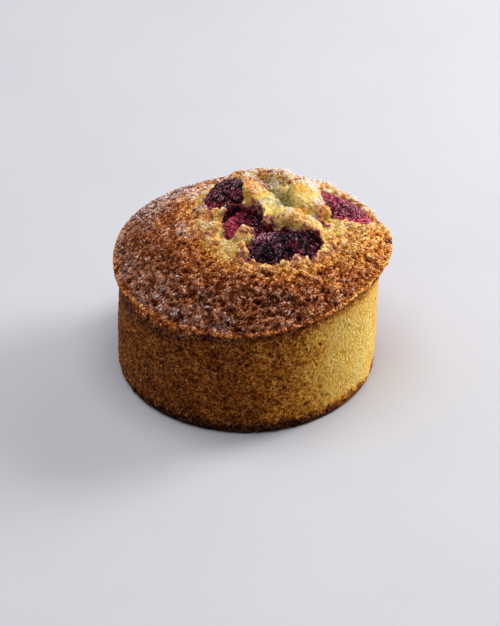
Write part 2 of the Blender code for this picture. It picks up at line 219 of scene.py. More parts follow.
# Juice stains: path, half width, strength
STAINS = [
    ([(-13.2, 10.2), (-9.4, 9.2)], 1.0, 0.60),
    ([(-12.0, 15.4), (-9.6, 13.8)], 1.1, 0.45),
    ([(3.4, 19.0), (5.4, 15.6), (6.8, 12.4)], 1.4, 0.50),
    ([(5.6, -0.8), (8.0, -0.8)], 1.3, 0.25),
    ([(7.4, -0.8), (9.6, -1.2)], 1.3, 0.26),
    ([(12.5, -1.6), (16.6, -3.6), (19.8, -6.8)], 1.1, 0.21),
    ([(2.0, 9.2), (3.4, 6.4), (4.8, 3.2)], 1.0, 0.45),
    # The band below, along the front berry's rear edge, is crimson juice and the painted shadow cast by the
    # arch
    ([(6.0, -2.9), (9.0, -3.1), (13.0, -3.8), (16.6, -5.4), (19.6, -8.0)], 0.7, 0.70),
    ([(-8.4, 10.2), (-4.2, 11.2), (-1.6, 11.8)], 1.8, 0.58),
    ([(2.2, -4.2), (4.6, -2.4)], 1.2, 0.60),
    ([(18.9, 1.8), (20.2, -0.4), (21.2, -3.0)], 0.8, 0.68),
    ([(-5.0, 9.2), (-5.2, 0.4), (-4.2, -2.6)], 0.9, 0.8),
    ([(13.0, -13.0), (18.0, -12.2)], 1.1, 0.6),
    ([(0.6, -13.4), (1.6, -12.4)], 0.9, 0.8),
]

# Level under which juice has soaked the crumb round each berry, over the dome
STAIN_LEVELS = {"berry_left": -1.2, "berry_middle": -2.0, "berry_front": -1.6, "berry_right": -0.5}

# Icing sugar: path, half width, strength
SUGAR = [
    ([(-34.0, 8.0), (-30.0, -10.0), (-22.0, -22.0), (-10.0, -29.0)], 7.0, 0.40),
    ([(-22.0, -21.0), (-12.0, -27.0)], 4.5, 0.20),
    ([(10.0, -27.0), (24.0, -20.0), (32.0, -8.0), (35.0, 2.0)], 5.0, 0.20),
    ([(-28.0, -4.0), (-24.0, -12.0)], 4.0, 0.25),
    ([(-19.0, 4.0), (-14.0, 1.0), (-10.0, -1.0)], 2.4, 0.95),
    ([(-12.0, 8.0), (-8.0, 5.0)], 2.8, 0.85),
    ([(-8.0, 2.0), (-6.4, -1.0)], 1.8, 0.75),
    ([(-26.0, 20.0), (-12.0, 29.0), (4.0, 31.0), (18.0, 26.0), (29.0, 14.0)], 6.5, 2.4),
    ([(-34.0, 14.0), (-26.0, 22.0)], 6.0, 0.6),
    ([(16.6, 17.4), (18.9, 11.8), (20.4, 6.4)], 2.4, 1.3),
    ([(-2.0, 26.0), (4.0, 23.0), (10.0, 22.0), (16.0, 19.0)], 3.0, 0.8),
    ([(4.0, 20.0), (7.0, 20.0)], 1.6, 0.6),
    ([(12.0, 0.6), (16.0, -1.0), (19.0, 4.0)], 1.8, 1.1),
    ([(0.0, -4.0), (2.0, -4.6)], 2.2, 0.5),
    ([(2.4, 18.0), (5.0, 10.0), (7.4, 4.6)], 2.2, 0.4),
    ([(-12.0, 20.0), (-14.0, 16.0)], 2.5, 0.6),
    ([(30.0, 14.0), (22.0, 20.0)], 3.5, 0.9),
]

# Browning of the wall by compass angle, and of its foot
WALL_TOAST = [(-180, 0.64), (-150, 0.72), (-126, 0.76), (-100, 0.74), (-83, 0.63), (-74, 0.56), (-64, 0.44),
              (-54, 0.33), (-44, 0.25), (-32, 0.19), (-18, 0.18), (-4, 0.34), (20, 0.55), (60, 0.62),
              (120, 0.68), (180, 0.62)]
FOOT_TOAST = 0.62

# Strengths of what changes the browning of each kind of surface; the high grains, the crust's edge, the
# contact shadow, and in part the wall's top and the rim's underside paint light and shade
CRUST_BROWNING = {"least": 0.32, "range": 0.45, "speed": 1.9, "patches": 0.07, "edge": -0.23,
                  "underside": -0.02, "high grains": -0.30}
CRUMB_BROWNING = {"least": 0.11, "loose": 0.04, "patches": 0.05, "border": 0.16, "height": 0.03,
                  "high grains": -0.20, "high loose grains": -0.14}
WALL_BROWNING = {"patches": 0.07, "foot": 0.08, "front foot": 0.30, "top": 0.06, "painted contact shadow": 0.45,
                 "painted shade under rim": 0.13, "high grains": -0.30}
HEIGHT_LIMITS = (-1.5, 2.0)
FOOT_TOP = 4.6
FOOT_FADE = 3.2
FRONT_FOOT = (-85, 28)
CONTACT_SHADOW_AT = (-105, 48)

# Noise that makes edges ragged and surfaces uneven: strength, width, shift
OPENING_RAGGED = [(0.50, 1.6, 3.1), (0.12, 0.8, 5.2)]
CRUMB_RAGGED = [(0.9, 2.2, 14.0), (0.5, 0.9, 15.0)]
FOOT_RAGGED = [(1.3, 5.0, 37.0), (0.8, 1.6, 39.0)]
PATCHES = [(1.0, 5.5, 23.0)]
LOOSE_PATCHES = [(0.08, 1.6, 27.0)]
CRUMB_PATCHES = [(0.10, 2.7, 29.0)]
SUGAR_PATCHES = [(0.5, 4.0, 33.0)]
CRUST_LUMPS = [(0.20, 2.6, 1.7)]
RIM_LUMPS = [(0.24, 1.9, 51.0)]
CRUMB_LUMPS = [(0.55, 3.1, 6.0), (0.42, 1.5, 8.0)]
CRUMB_DUST = [(0.14, 0.8, 11.0)]
WALL_LUMPS = [(0.12, 3.4, 2.0), (0.09, 1.2, 2.5)]
FOOT_LUMPS = [(0.20, 1.4, 17.0)]

# Gain of the smooth noise, and what the pores' cells are multiplied by for their draw
GRAIN_GAIN = 1.6
PORE_DRAW = 7.3

# Fine relief of each kind of surface, in millimetres, and what counts as deep between grains
GRAIN_MIDDLE = 0.5
KNOB_MIDDLE = 0.45
CRUST_HEIGHTS = {"coarse": 0.46, "fine": 0.42, "wrinkles": 0.40, "pores": 0.70, "lost at rim": 0.25}
CRUST_DEEP = {"between grains": 1.2, "between wrinkles": 0.8}
CRUMB_HEIGHTS = {"knobs": 0.65, "fine": 0.55, "pores": 0.45}
CRUMB_SMOOTHED = {"lumps": 0.70, "fine": 0.20, "pores": 0.20, "deep": 0.50}
WALL_HEIGHTS = {"fine": 0.24, "foot": 0.75, "pores": 0.50}
LEAST_ROUGH = 0.38
LEAST_LIFT = 0.3

# Round grains: width, shift
CRUST_COARSE = (1.15, 2.0)
CRUST_FINE = (0.60, 5.0)
CRUMB_FINE = (0.90, 7.0)
CRUMB_KNOBS = (2.1, 17.0)
WALL_FINE = (0.80, 3.0)
FOOT_COARSE = (1.25, 13.0)

# Pores: strength, spacing, radius, share of the places that have one, shift
CRUST_PORES = [(1.0, 1.9, 0.50, 0.50, 9.0), (0.7, 1.2, 0.34, 0.50, 19.0)]
CRUMB_PORES = [(1.0, 1.7, 0.36, 0.35, 12.0)]
WALL_PORES = [(1.0, 1.35, 0.30, 0.50, 21.0), (0.9, 3.3, 0.62, 0.60, 31.0)]

# Wrinkles round the front of the crust: compass angle and spread, and where they start and end
WRINKLE_AT = (-95, 75)
WRINKLE_WIDTH = 1.2
WRINKLE_LENGTH = 3.2
WRINKLE_RADIUS = 33.0
WRINKLE_SHIFT = 4.0
WRINKLES_IN = (12.0, 20.0)
WRINKLES_OUT = (36.0, 32.0)

# Least juice in the openings, the faint ring round them, and sugar over the whole top
STAIN_LEAST = 0.55
STAIN_RING_STRENGTH = 0.09
SUGAR_FLOOR = 0.07
SUGAR_ON_CRUMB = 0.06
SUGAR_EVEN = 0.8
SUGAR_LOST_IN_JUICE = 0.75

# Where looks fade: the value with none of them, the value with all
ON_WALL = (0.25, 1.0)
TOP_ONLY = (0.2, 0.0)
UNDERSIDE = (0.0, 0.3)
UNDER_RIM = (1.3, 0.7)
SUGARED_PART = (0.15, 0.0)
CRUMB_EDGE = (-1.2, 1.2)
CRUMB_BORDER = (3.0, -1.0)
SMOOTH_EDGE = (1.6, 0.6)
RIM_HIGHLIGHT = (0.972, 0.988)
RIM_LUMPS_FROM = 0.95
RIM_LUMPS_FADE = 1.5
ROUGH_FOOT = (5.0, 2.0)
ROUGH_WALL = (0.15, 0.55)
WALL_TOP = (0.82, 0.96)
CONTACT_SHADOW_HEIGHT = (2.9, 1.3)
SUGARED_SHARE = (1.02, 0.96)
SOAKED = (-0.6, 0.6)
SHADED_DEEP_IN_OPENINGS = (0.5, 1.7)
STAIN_EDGE = (-1.0, -0.3)
STAIN_RING = (-1.5, 0.0)
ABOVE_FLOOR = (0.05, 0.85)
FACING_UP = (0.15, 0.60)
BERRY_SHOWN = (-0.9, -0.1)
BERRY_EDGE = (1.8, -0.4)

# Colours by browning, from pale crumb to burnt
BROWNS = [
    (0.00, (0.76, 0.60, 0.25)),
    (0.14, (0.86, 0.58, 0.165)),
    (0.28, (0.88, 0.48, 0.090)),
    (0.40, (0.80, 0.345, 0.044)),
    (0.52, (0.62, 0.205, 0.022)),
    (0.64, (0.40, 0.108, 0.011)),
    (0.78, (0.23, 0.051, 0.005)),
    (0.90, (0.115, 0.024, 0.004)),
    (1.00, (0.05, 0.010, 0.002)),
]
SHADES = [
    (0.00, (1.0, 1.0, 1.0)),
    (0.50, (0.64, 0.58, 0.49)),
    (1.00, (0.36, 0.235, 0.12)),
]
CRUMB_SHADES = [
    (0.00, (1.0, 1.0, 1.0)),
    (0.50, (0.78, 0.75, 0.56)),
    (1.00, (0.60, 0.49, 0.17)),
]
# Juice colours by strength; the near-black end is the deepest juice and the painted shade deep in the
# openings
JUICE = [
    (0.00, (0.66, 0.34, 0.26)),
    (0.30, (0.46, 0.11, 0.12)),
    (0.60, (0.20, 0.012, 0.028)),
    (0.80, (0.05, 0.003, 0.007)),
    (1.00, (0.008, 0.001, 0.002)),
]
SUGAR_WHITE = (0.88, 0.84, 0.85)
SKIN = [
    (0.00, (0.004, 0.001, 0.003)),
    (0.20, (0.018, 0.002, 0.007)),
    (0.45, (0.10, 0.005, 0.018)),
    (0.70, (0.25, 0.012, 0.034)),
    (1.00, (0.48, 0.040, 0.080)),
]

# Sugar grains: the seed of their places, their number, how they gather on high grains, and for each
# its smallest size, range and rarity of large ones, its shape and how it lies
SEED = 7
SUGAR_GRAINS = 2200
SUGAR_GATHERED = 1.5
SUGAR_LEVEL = 0.5
SUGAR_BY_HEIGHT = 1.5
SUGAR_SIZES = (0.09, 0.16, 2.5)
SUGAR_LUMPS = 0.35
SUGAR_STRETCH = (0.7, 0.6)
SUGAR_JITTER = 0.2
SUGAR_JITTER_SHAPE = (1.0, 1.0, 0.3)
SUGAR_LIFT = 0.3

# Fine berries: points round, rings, and the drupelets, folds and creases of their skin
BERRY_ROUND = 200
BERRY_RINGS = 96
BERRY_FULLNESS = 0.8
DRUPELET = (1.15, 41.0)
DRUPELET_EDGE = 0.85
DRUPELET_HEIGHT = 0.55
DRUPELET_MIDDLE = 0.6
FOLD_LIMIT = 0.5
FOLD_MIDDLE = 0.3
CREASE_LIMIT = 0.4
CREASE_HEIGHT = 0.5
SKIN_LEVEL = -0.30
SKIN_CRIMSON = {"edge": 0.30, "drupelets": 0.35, "folds": 0.5}
FOLDS = [(1.0, 2.4, 43.0)]
CREASES = [(1.0, 1.2, 45.0)]
SKIN_GRAINS = [(0.14, 0.7, 47.0)]

# Crimson and sugar of each berry, and its patches: place, radius, change of crimson, of sugar. Patches that
# take crimson away darken the skin towards black: painted shade under the overhanging crust, in the front
# berry's seam and deep corners.
BERRY_LOOKS = {
    "berry_left": {
        "crimson": 0.07, "dust": 0.18,
        "patches": [((-9.0, 12.0), 3.4, 0.38, 0.1), ((-3.0, 22.0), 2.2, 0.4, 0.0)],
    },
    "berry_middle": {
        "crimson": 0.72, "dust": 0.08,
        "patches": [((-3.6, 1.6), 3.0, 0.18, 0.2), ((3.6, 3.0), 3.4, -0.6, -0.1),
                    ((0.4, 8.8), 3.2, -0.40, -0.1)],
    },
    "berry_front": {
        "crimson": 0.10, "dust": 0.07,
        "patches": [((4.8, -4.6), 3.4, 0.45, 0.9), ((18.6, -8.4), 2.2, 0.40, 0.0),
                    ((12.6, -9.6), 2.0, 0.32, 0.0), ((9.4, -7.6), 1.2, -0.25, -0.15),
                    ((11.0, -11.0), 1.2, -0.25, -0.15), ((14.6, -5.0), 2.6, -0.25, -0.1),
                    ((4.0, -11.4), 3.4, -0.12, -0.1)],
    },
    "berry_right": {
        "crimson": 0.62, "dust": 0.42,
        "patches": [((21.4, 12.0), 3.4, 0.25, -0.2), ((29.5, 2.0), 3.0, 0.2, 0.0)],
    },
}

# Speckles in the materials: width, detail, shift
SPECKLES = {
    "cake fine": (0.50, 1.0, 0.1),
    "cake middle": (1.0, 2.0, 0.2),
    "cake broad": (3.0, 2.0, 0.3),
    "cake tan": (0.60, 1.0, 1.9),
    "cake small holes": (0.72, 1.0, 2.3),
    "cake large holes": (1.4, 2.0, 3.1),
    "berry fine": (0.60, 1.0, 0.5),
    "berry middle": (1.2, 2.0, 0.6),
    "berry broad": (2.6, 2.0, 0.8),
    "sugar": (1.0, 1.0, 0.7),
    "floor": (40.0, 2.0, 0.9),
}
SPECKLE_ROUGHNESS = 0.6

# Bright specks in the materials: sugar crystals, and glints that are painted highlights on the cake and the
# berries; spacing, radius, shift
CRYSTALS = {
    "cake glints": (0.55, 0.21, 5.0),
    "small sugar": (0.60, 0.24, 0.4),
    "large sugar": (1.0, 0.34, 0.8),
    "berry glints": (0.50, 0.17, 1.4),
}
BERRY_BEADS = (0.95, 0.9)

# Ranges in the materials: from, to, what it gives at the first, what it gives at the second
RANGES = {
    "fine step": (0.40, 0.60, -0.5, 0.5),
    "middle step": (0.38, 0.62, -0.5, 0.5),
    "calm wall by browning": (0.15, 0.60, 0.78, 0.20),
    "calm crumb by smoothness": (0.0, 1.0, 0.30, 0.74),
    "tan flecks": (0.54, 0.66, 0.0, 0.35),
    "gain by crumb": (0.0, 1.0, 1.50, 1.17),
    "pale by tone": (0.32, 0.0, 0.0, 1.0),
    "pale by wall": (0.0, 1.0, 0.20, 0.05),
    "pale crumb by tone": (0.42, 0.10, 0.0, 0.58),
    "pale crumb by browning": (0.20, 0.45, 1.0, 0.25),
    "glints by height": (-0.12, 0.12, 0.0, 0.82),
    "glints by wall": (0.0, 1.0, 1.0, 0.35),
    "moist_and_shade": (0.3, 0.7, 1.0, 0.7),
    "middle juice": (0.35, 0.65, -0.16, 0.16),
    "broad juice": (0.38, 0.62, -0.14, 0.14),
    "juice mottled": (0.0, 0.25, 0.0, 1.0),
    "juice shows": (0.10, 0.55, 0.0, 1.0),
    "small holes": (0.57, 0.68, 0.0, 1.0),
    "large holes": (0.60, 0.68, 0.0, 1.0),
    "holes by liveliness": (0.25, 1.0, 0.10, 0.85),
    "sugar by wall": (0.0, 1.0, 0.12, 0.01),
    "sugar by height": (-0.15, 0.20, 0.0, 0.8),
    "veil by grain": (0.42, 0.64, 0.02, 0.52),
    "veil by height": (-0.25, 0.10, 0.1, 1.0),
    "cake roughness": (0.0, 0.5, 0.55, 0.22),
    "cake gloss": (0.0, 0.5, 0.03, 0.9),
    "wet by juice": (0.1, 0.6, 0.42, 0.05),
    "bumps by crumb": (0.0, 0.7, 1.0, 0.45),
    "bumps by wall": (0.3, 0.6, 1.0, 0.55),
    "bead top": (0.75, 0.0, 0.0, 1.0),
    "skin middle": (0.38, 0.62, -0.18, 0.18),
    "skin fine": (0.40, 0.60, -0.12, 0.12),
    "skin beads": (0.2, 0.9, -0.16, 0.10),
    "skin broad": (0.36, 0.64, -0.16, 0.16),
    "folds by height": (0.10, 0.45, 0.0, 0.26),
    "folds by grain": (0.46, 0.60, 0.0, 1.0),
    "skin glints": (0.40, 0.62, 0.22, 0.02),
    "skin glints by height": (-0.20, 0.25, 0.05, 0.8),
    "skin veil": (0.45, 0.65, 0.0, 0.6),
    "skin roughness": (0.0, 0.5, 0.36, 0.2),
    "skin gloss": (0.0, 0.5, 0.10, 1.0),
}
TONE_LIMIT = 0.75
TONE_OF_MIDDLE = 0.5
BROWNING_CHANGES = (0.10, 0.10, 0.08)
GLINT_SHARE = 0.40
JUICE_GRAIN = 0.25
PIT_DARKNESS = 0.9
SPECK_SHARE = 0.50
LARGE_SPECKS = 0.5
CRUMB_WETNESS = 0.22
CRUMB_GLOW = 0.7
GLOW_REACH = (1.0, 0.55, 0.16)
GLOW_SCALE = 1.5
SKIN_IOR = 1.25
SUGAR_ROUGHNESS = 0.3
FLOOR_ROUGHNESS = 0.55

# Depths of the materials' bumps in millimetres, and strengths of the berries' bumps
CAKE_BUMPS = {"middle": 0.6, "fine": 0.65, "holes": 0.25}
SKIN_BUMPS = {"middle": (0.6, 0.8), "beads": (0.35, 0.7), "fine": (0.40, 0.9)}

# Other colours: the sheen, glint and fold colours are painted highlights, PORE_SHADE is painted shade in
# the pores, and MOIST_SHADE is partly painted shade in the valleys
WHITE = (1.0, 1.0, 1.0)
TAN = (0.74, 0.31, 0.09)
WALL_TINT = (0.97, 1.14, 1.28)
CRUMB_TINT = (0.97, 1.04, 0.88)
CRUST_SHEEN = (0.92, 0.76, 0.64)
CRUMB_SHEEN = (0.90, 0.84, 0.72)
CRUST_GLINT = (1.0, 0.75, 0.56)
CRUMB_GLINT = (0.98, 0.93, 0.80)
MOIST_SHADE = (0.20, 0.22, 0.08)
PORE_SHADE = (0.29, 0.11, 0.05)
FOLD_HIGHLIGHT = (0.36, 0.15, 0.20)
SKIN_GLINT = (0.86, 0.62, 0.70)
SKIN_VEIL = (0.62, 0.36, 0.42)
SUGAR_TONES = [(0.3, (0.80, 0.78, 0.80)), (0.7, (0.95, 0.94, 0.96))]
FLOOR_TONES = [(0.3, (0.490, 0.490, 0.526)), (0.7, (0.504, 0.504, 0.540))]
FLOOR_HALF = 4000.0

# Camera, in millimetres and degrees, and the picture's focal length in pixels
CAMERA_TARGET = (1.3, 0.0, 13.94)
CAMERA_LIFT = 36.2
CAMERA_AWAY = 700.0
CAMERA_FOCUS = 2648.9
CAMERA_NEAREST = 0.01
PICTURE_HEIGHT = 626

# Soft lights: azimuth and height in degrees, distance and width in metres, watts, colour
LIGHT_TARGET = (0.0, 0.0, 0.02)
LIGHTS = [
    ("key", 26.0, 27.0, 0.70, 0.28, 4.6, (1.0, 1.0, 0.97)),
    ("overhead", 90.0, 89.0, 1.00, 0.90, 8.2, (1.0, 0.98, 0.98)),
    ("back right", 45.0, 23.0, 1.00, 0.80, 3.5, (0.98, 0.98, 1.0)),
    ("back left", 150.0, 48.0, 1.00, 0.90, 2.8, (0.90, 0.94, 1.0)),
    ("front left", 225.0, 50.0, 1.00, 0.90, 1.1, (0.85, 0.92, 1.0)),
    ("low right", 4.0, 9.0, 1.00, 0.50, 1.1, (1.0, 0.99, 0.97)),
]


def turned(angle):
    """An angle brought into -pi..pi."""
    return (angle + pi) % (2 * pi) - pi


def swell(angle, at, width):
    """A smooth bump of 1 round the compass angle at, in degrees."""
    return np.exp(-(turned(angle - np.radians(at)) / np.radians(width)) ** 2)


def swells(angle, rows):
    """Sum of swells, each with its size, compass angle and width."""
    return sum(size * swell(angle, at, width) for size, at, width in rows)


def ease(value):
    """A smooth step from 0 to 1."""
    share = np.clip(value, 0.0, 1.0)
    return share * share * (3.0 - 2.0 * share)


def fade(value, none, full):
    """A smooth step from 0 at one value to 1 at the other."""
    return ease((value - none) / (full - none))


def places(x, y, z, width, shift):
    """Places as rows, scaled to a noise's width and shifted to give it its own draw."""
    flat = np.stack([np.ravel(x), np.ravel(y), np.ravel(z)], 1) / width
    return (flat + shift).tolist()


def grain(x, y, z, rows):
    """Smooth seeded noise, about -1..1 times the strength of each of its layers."""
    total = 0.0 * x
    for strength, width, shift in rows:
        values = [noise.noise(place) for place in places(x, y, z, width, shift)]
        total += strength * GRAIN_GAIN * np.array(values).reshape(np.shape(x))
    return total


def cells(x, y, z, width, shift):
    """Distance to the nearest of scattered cell centres, in cell widths."""
    values = [noise.voronoi(place)[0][0] for place in places(x, y, z, width, shift)]
    return np.array(values).reshape(np.shape(x))


def pores(x, y, z, rows):
    """Scattered pits of 0 to about 1, one for a share of the cells."""
    total = np.zeros(np.size(x))
    for strength, width, radius, share, shift in rows:
        for number, place in enumerate(places(x, y, z, width, shift)):
            away, centres = noise.voronoi(place)
            if noise.cell(centres[0] * PORE_DRAW) < share:
                total[number] += strength * math.exp(-(away[0] * width / radius) ** 2)
    return total.reshape(np.shape(x))


def rim_radius(angle):
    """Outline of the crust's edge."""
    shift = RIM_SHIFT_X * np.cos(angle) + RIM_SHIFT_Y * np.sin(angle)
    return WALL_RADIUS + RIM_OVERHANG + shift + swells(angle, RIM_SWELLS)


def rim_height(x, y):
    """Height of the crust's edge."""
    angle = np.arctan2(y, x)
    out = fade(np.hypot(x, y) / WALL_RADIUS, WAVE_START, 1.0)
    return RIM_HEIGHT + RIM_RISE_X * x + RIM_RISE_Y * y + out * swells(angle, RIM_WAVES)


def reach(bearing):
    """Distance from the crown to the rim along a bearing."""
    low = np.zeros_like(bearing)
    high = np.full_like(bearing, 2 * WALL_RADIUS)
    for _ in range(HALVINGS):
        middle = (low + high) / 2
        x = CROWN_X + middle * np.cos(bearing)
        y = CROWN_Y + middle * np.sin(bearing)
        inside = np.hypot(x, y) < rim_radius(np.arctan2(y, x))
        low = np.where(inside, middle, low)
        high = np.where(inside, high, middle)
    return low


BEARINGS = np.linspace(-pi, pi, BEARING_STEPS + 1)
REACHES = reach(BEARINGS)


def rim_share(x, y):
    """0 at the crown to 1 at the rim."""
    away = np.hypot(x - CROWN_X, y - CROWN_Y)
    return away / np.interp(np.arctan2(y - CROWN_Y, x - CROWN_X), BEARINGS, REACHES)


def dome(x, y):
    """Height of the top without its lobes."""
    share = np.clip(rim_share(x, y), 0.0, 1.0)
    return rim_height(x, y) + CROWN_HEIGHT * (1.0 - share ** CROWN_POWER)


def path_distance(x, y, path):
    """Distance from each place to a path of points."""
    nearest = np.hypot(x - path[0][0], y - path[0][1])
    for (ax, ay), (bx, by) in zip(path, path[1:]):
        along = ((x - ax) * (bx - ax) + (y - ay) * (by - ay)) / ((bx - ax) ** 2 + (by - ay) ** 2)
        along = np.clip(along, 0.0, 1.0)
        nearest = np.minimum(nearest, np.hypot(x - ax - along * (bx - ax), y - ay - along * (by - ay)))
    return nearest


def outline_of(points):
    """Centre of a ring of points, and its radius as a function of the bearing."""
    ring = np.array(points)
    centre = ring.mean(axis=0)
    bearing = np.arctan2(ring[:, 1] - centre[1], ring[:, 0] - centre[0])
    radius = np.hypot(ring[:, 0] - centre[0], ring[:, 1] - centre[1])
    order = np.argsort(bearing)
    return centre, bearing[order], radius[order]


def inside_ring(x, y, points):
    """Distance inside a ring of points along the bearing from its centre, negative outside."""
    centre, bearing, radius = outline_of(points)
    around = np.arctan2(y - centre[1], x - centre[0])
    edge = np.interp(around, bearing, radius, period=2 * pi)
    return edge - np.hypot(x - centre[0], y - centre[1])


def in_opening(x, y, berry, ragged):
    """1 in a berry's opening, 0 on the crumb round it."""
    return ease(0.5 + (inside_ring(x, y, berry["opening"]) + ragged) / OPENING_EDGE)


def soft_max(first, second):
    """The higher of two surfaces, with the crease between them rounded."""
    near = np.clip(CREASE - np.abs(first - second), 0.0, None)
    return np.maximum(first, second) + near * near / (4 * CREASE)


def split_share(x, y):
    """1 in the split crown, 0 on the crust round it."""
    away = np.hypot(x - CROWN_X, y - CROWN_Y)
    return ease(0.5 + (SPLIT_RADIUS - away) / SPLIT_EDGE)


def lobe_height(x, y, lobe):
    """Height of one lobe over the crust."""
    path, half_width, height = lobe
    away = path_distance(x, y, path) / half_width
    return (height + LOBE_ROOT) * np.sqrt(np.clip(1.0 - away ** LOBE_POWER, 0.0, None)) - LOBE_ROOT


def top_relief(x, y, ragged):
    """Relief of the top over the dome: split, furrows, lobes and openings with ragged edges."""
    relief = -SPLIT_DEPTH * split_share(x, y)
    for path, half_width, depth in FURROWS.values():
        relief -= depth * np.exp(-(path_distance(x, y, path) / half_width) ** 2)
    for lobe in LOBES.values():
        relief = soft_max(relief, lobe_height(x, y, lobe))
    for berry in BERRIES.values():
        relief -= berry["hollow"] * in_opening(x, y, berry, ragged)
    return relief


def wall_radius(angle, height):
    """Radius of the wall."""
    up = np.clip(height / RIM_HEIGHT, 0.0, HIGHEST_SHARE)
    radius = WALL_RADIUS - WALL_TAPER * ease(up) + WALL_BELLY * np.sin(pi * np.clip(up, 0.0, 1.0))
    return radius + (FLARE_LOW + FLARE_HIGH * up * up) * swells(angle, FLARE_SWELL)


def lip_drop(angle):
    """Height over which the crust's underside runs back to the wall."""
    return LIP_DROP + swells(angle, LIP_SWELLS)


def lip_out(angle, down):
    """Share of the overhang left at a share of the way down: a crisp edge, softer at the flare."""
    crisp = 1.0 - min(1.0, CRISP_SPEED * down) ** CRISP_POWER
    soft = 1.0 - ease(SOFT_SPEED * down) ** SOFT_POWER
    return crisp + (soft - crisp) * swells(angle, SOFT_LIP)


def foot_lift(angle):
    """Height of the rounded bottom edge."""
    return FOOT_HEIGHT + swells(angle, FOOT_SWELL)


def disc_grid(count):
    """A square grid bent into a disc: share from the centre and bearing of each of its points."""
    side = np.linspace(-1.0, 1.0, count + 1)
    across, up = np.meshgrid(side, side, indexing="ij")
    share = np.maximum(np.abs(across), np.abs(up))
    wide = np.abs(across) >= np.abs(up)
    safe_across = np.where(across == 0.0, 1.0, across)
    safe_up = np.where(up == 0.0, 1.0, up)
    bearing = np.where(wide, up / safe_across, 2.0 - across / safe_up) * pi / 4
    bearing += np.where(np.where(wide, across, up) < 0.0, pi, 0.0)
    return share, turned(bearing)


def grid_edge(count):
    """Indices of a square grid's edge, anticlockwise."""
    index = np.arange((count + 1) ** 2).reshape(count + 1, count + 1)
    return np.concatenate([index[:-1, 0], index[-1, :-1], index[:0:-1, -1], index[0, :0:-1]])


def lean(x, y, ragged):
    """Lobes pushed out over the openings beside them."""
    openings = np.zeros_like(x)
    for berry in BERRIES.values():
        openings = np.maximum(openings, in_opening(x, y, berry, ragged))
    for name, (lean_x, lean_y) in LEANS.items():
        path, half_width, _ = LOBES[name]
        near = np.clip(1.0 - (path_distance(x, y, path) / half_width) ** 2, 0.0, 1.0)
        x = x + lean_x * near * (1.0 - openings)
        y = y + lean_y * near * (1.0 - openings)
    return x, y


def top_points():
    """Points of the fine top, and each one's place before any lean."""
    share, bearing = disc_grid(TOP_CELLS)
    share = share * (GRID_MIDDLE + (1.0 - GRID_MIDDLE) * share)
    far = np.interp(bearing, BEARINGS, REACHES)
    x = CROWN_X + share * far * np.cos(bearing)
    y = CROWN_Y + share * far * np.sin(bearing)
    ragged = grain(x, y, 0 * x, OPENING_RAGGED)
    z = dome(x, y) + top_relief(x, y, ragged)
    out_x, out_y = lean(x, y, ragged)
    return [np.ravel(value) for value in (out_x, out_y, z, x, y)]


def side_rings(angle, rim):
    """Radius, height and part (0 to 1 down the lip, 2 wall and foot, 3 base) of each ring."""
    rings = []
    rim_out = rim_radius(angle)
    drop = lip_drop(angle)
    wall_top = wall_radius(angle, rim - drop)
    for step in range(1, LIP_RINGS + 1):
        down = step / LIP_RINGS
        radius = wall_top + lip_out(angle, down) * (rim_out - wall_top)
        rings.append((radius, rim - down * drop, down))
    foot = foot_lift(angle)
    for step in range(1, WALL_RINGS + 1):
        height = rim - drop - step / WALL_RINGS * (rim - drop - foot)
        rings.append((wall_radius(angle, height), height, 2.0))
    foot_radius = wall_radius(angle, foot)
    for step in range(1, FOOT_RINGS + 1):
        turn = step / FOOT_RINGS * pi / 2
        radius = foot_radius - FOOT_INSET * (1.0 - math.cos(turn))
        rings.append((radius, foot * (1.0 - math.sin(turn)), 2.0))
    for step in range(1, BASE_RINGS):
        rings.append(((foot_radius - FOOT_INSET) * (1.0 - step / BASE_RINGS), 0.0 * foot, 3.0))
    return rings


def cake_points():
    """Points of the fine cake before its grain, their plan places, parts and faces."""
    x, y, z, plan_x, plan_y = top_points()
    edge = grid_edge(TOP_CELLS)
    angle = np.arctan2(y[edge], x[edge])
    rings = side_rings(angle, z[edge])
    points = [np.stack([x, y, z], 1)]
    parts = [np.zeros(len(x))]
    for radius, height, part in rings:
        points.append(np.stack([radius * np.cos(angle), radius * np.sin(angle), height], 1))
        parts.append(np.full(len(angle), part))
    points.append(np.zeros((1, 3)))
    parts.append(np.full(1, 3.0))
    points = np.concatenate(points)
    plan = points[:, :2].copy()
    plan[:len(x), 0] = plan_x
    plan[:len(x), 1] = plan_y
    return points, plan, np.concatenate(parts), cake_faces(edge, len(rings))


def cake_faces(edge, ring_count):
    """Faces of the top grid, of the rings below it and of the fan under the base."""
    count = TOP_CELLS + 1
    index = np.arange(count * count).reshape(count, count)
    corners = [index[:-1, :-1], index[1:, :-1], index[1:, 1:], index[:-1, 1:]]
    faces = np.stack([np.ravel(corner) for corner in corners], 1).tolist()
    around = len(edge)
    upper = edge
    start = count * count
    for ring in range(ring_count):
        lower = start + ring * around + np.arange(around)
        faces += np.stack([upper, lower, np.roll(lower, -1), np.roll(upper, -1)], 1).tolist()
        upper = lower
    centre = start + ring_count * around
    faces += [[centre, int(b), int(a)] for a, b in zip(upper, np.roll(upper, -1))]
    return faces


def mesh_object(name, points, faces):
    """A smooth mesh object from points in millimetres."""
    data = bpy.data.meshes.new(name)
    data.from_pydata((points * MM).tolist(), [], faces)
    data.update()
    data.shade_smooth()
    made = bpy.data.objects.new(name, data)
    bpy.context.scene.collection.objects.link(made)
    return made


def normals_of(made):
    """Vertex normals of a mesh object."""
    values = np.zeros(len(made.data.vertices) * 3, np.float32)
    made.data.vertices.foreach_get("normal", values)
    return values.reshape(-1, 3).astype(float)


def set_points(made, points):
    """Move a mesh object's points."""
    made.data.vertices.foreach_set("co", (points * MM).astype(np.float32).ravel())
    made.data.update()


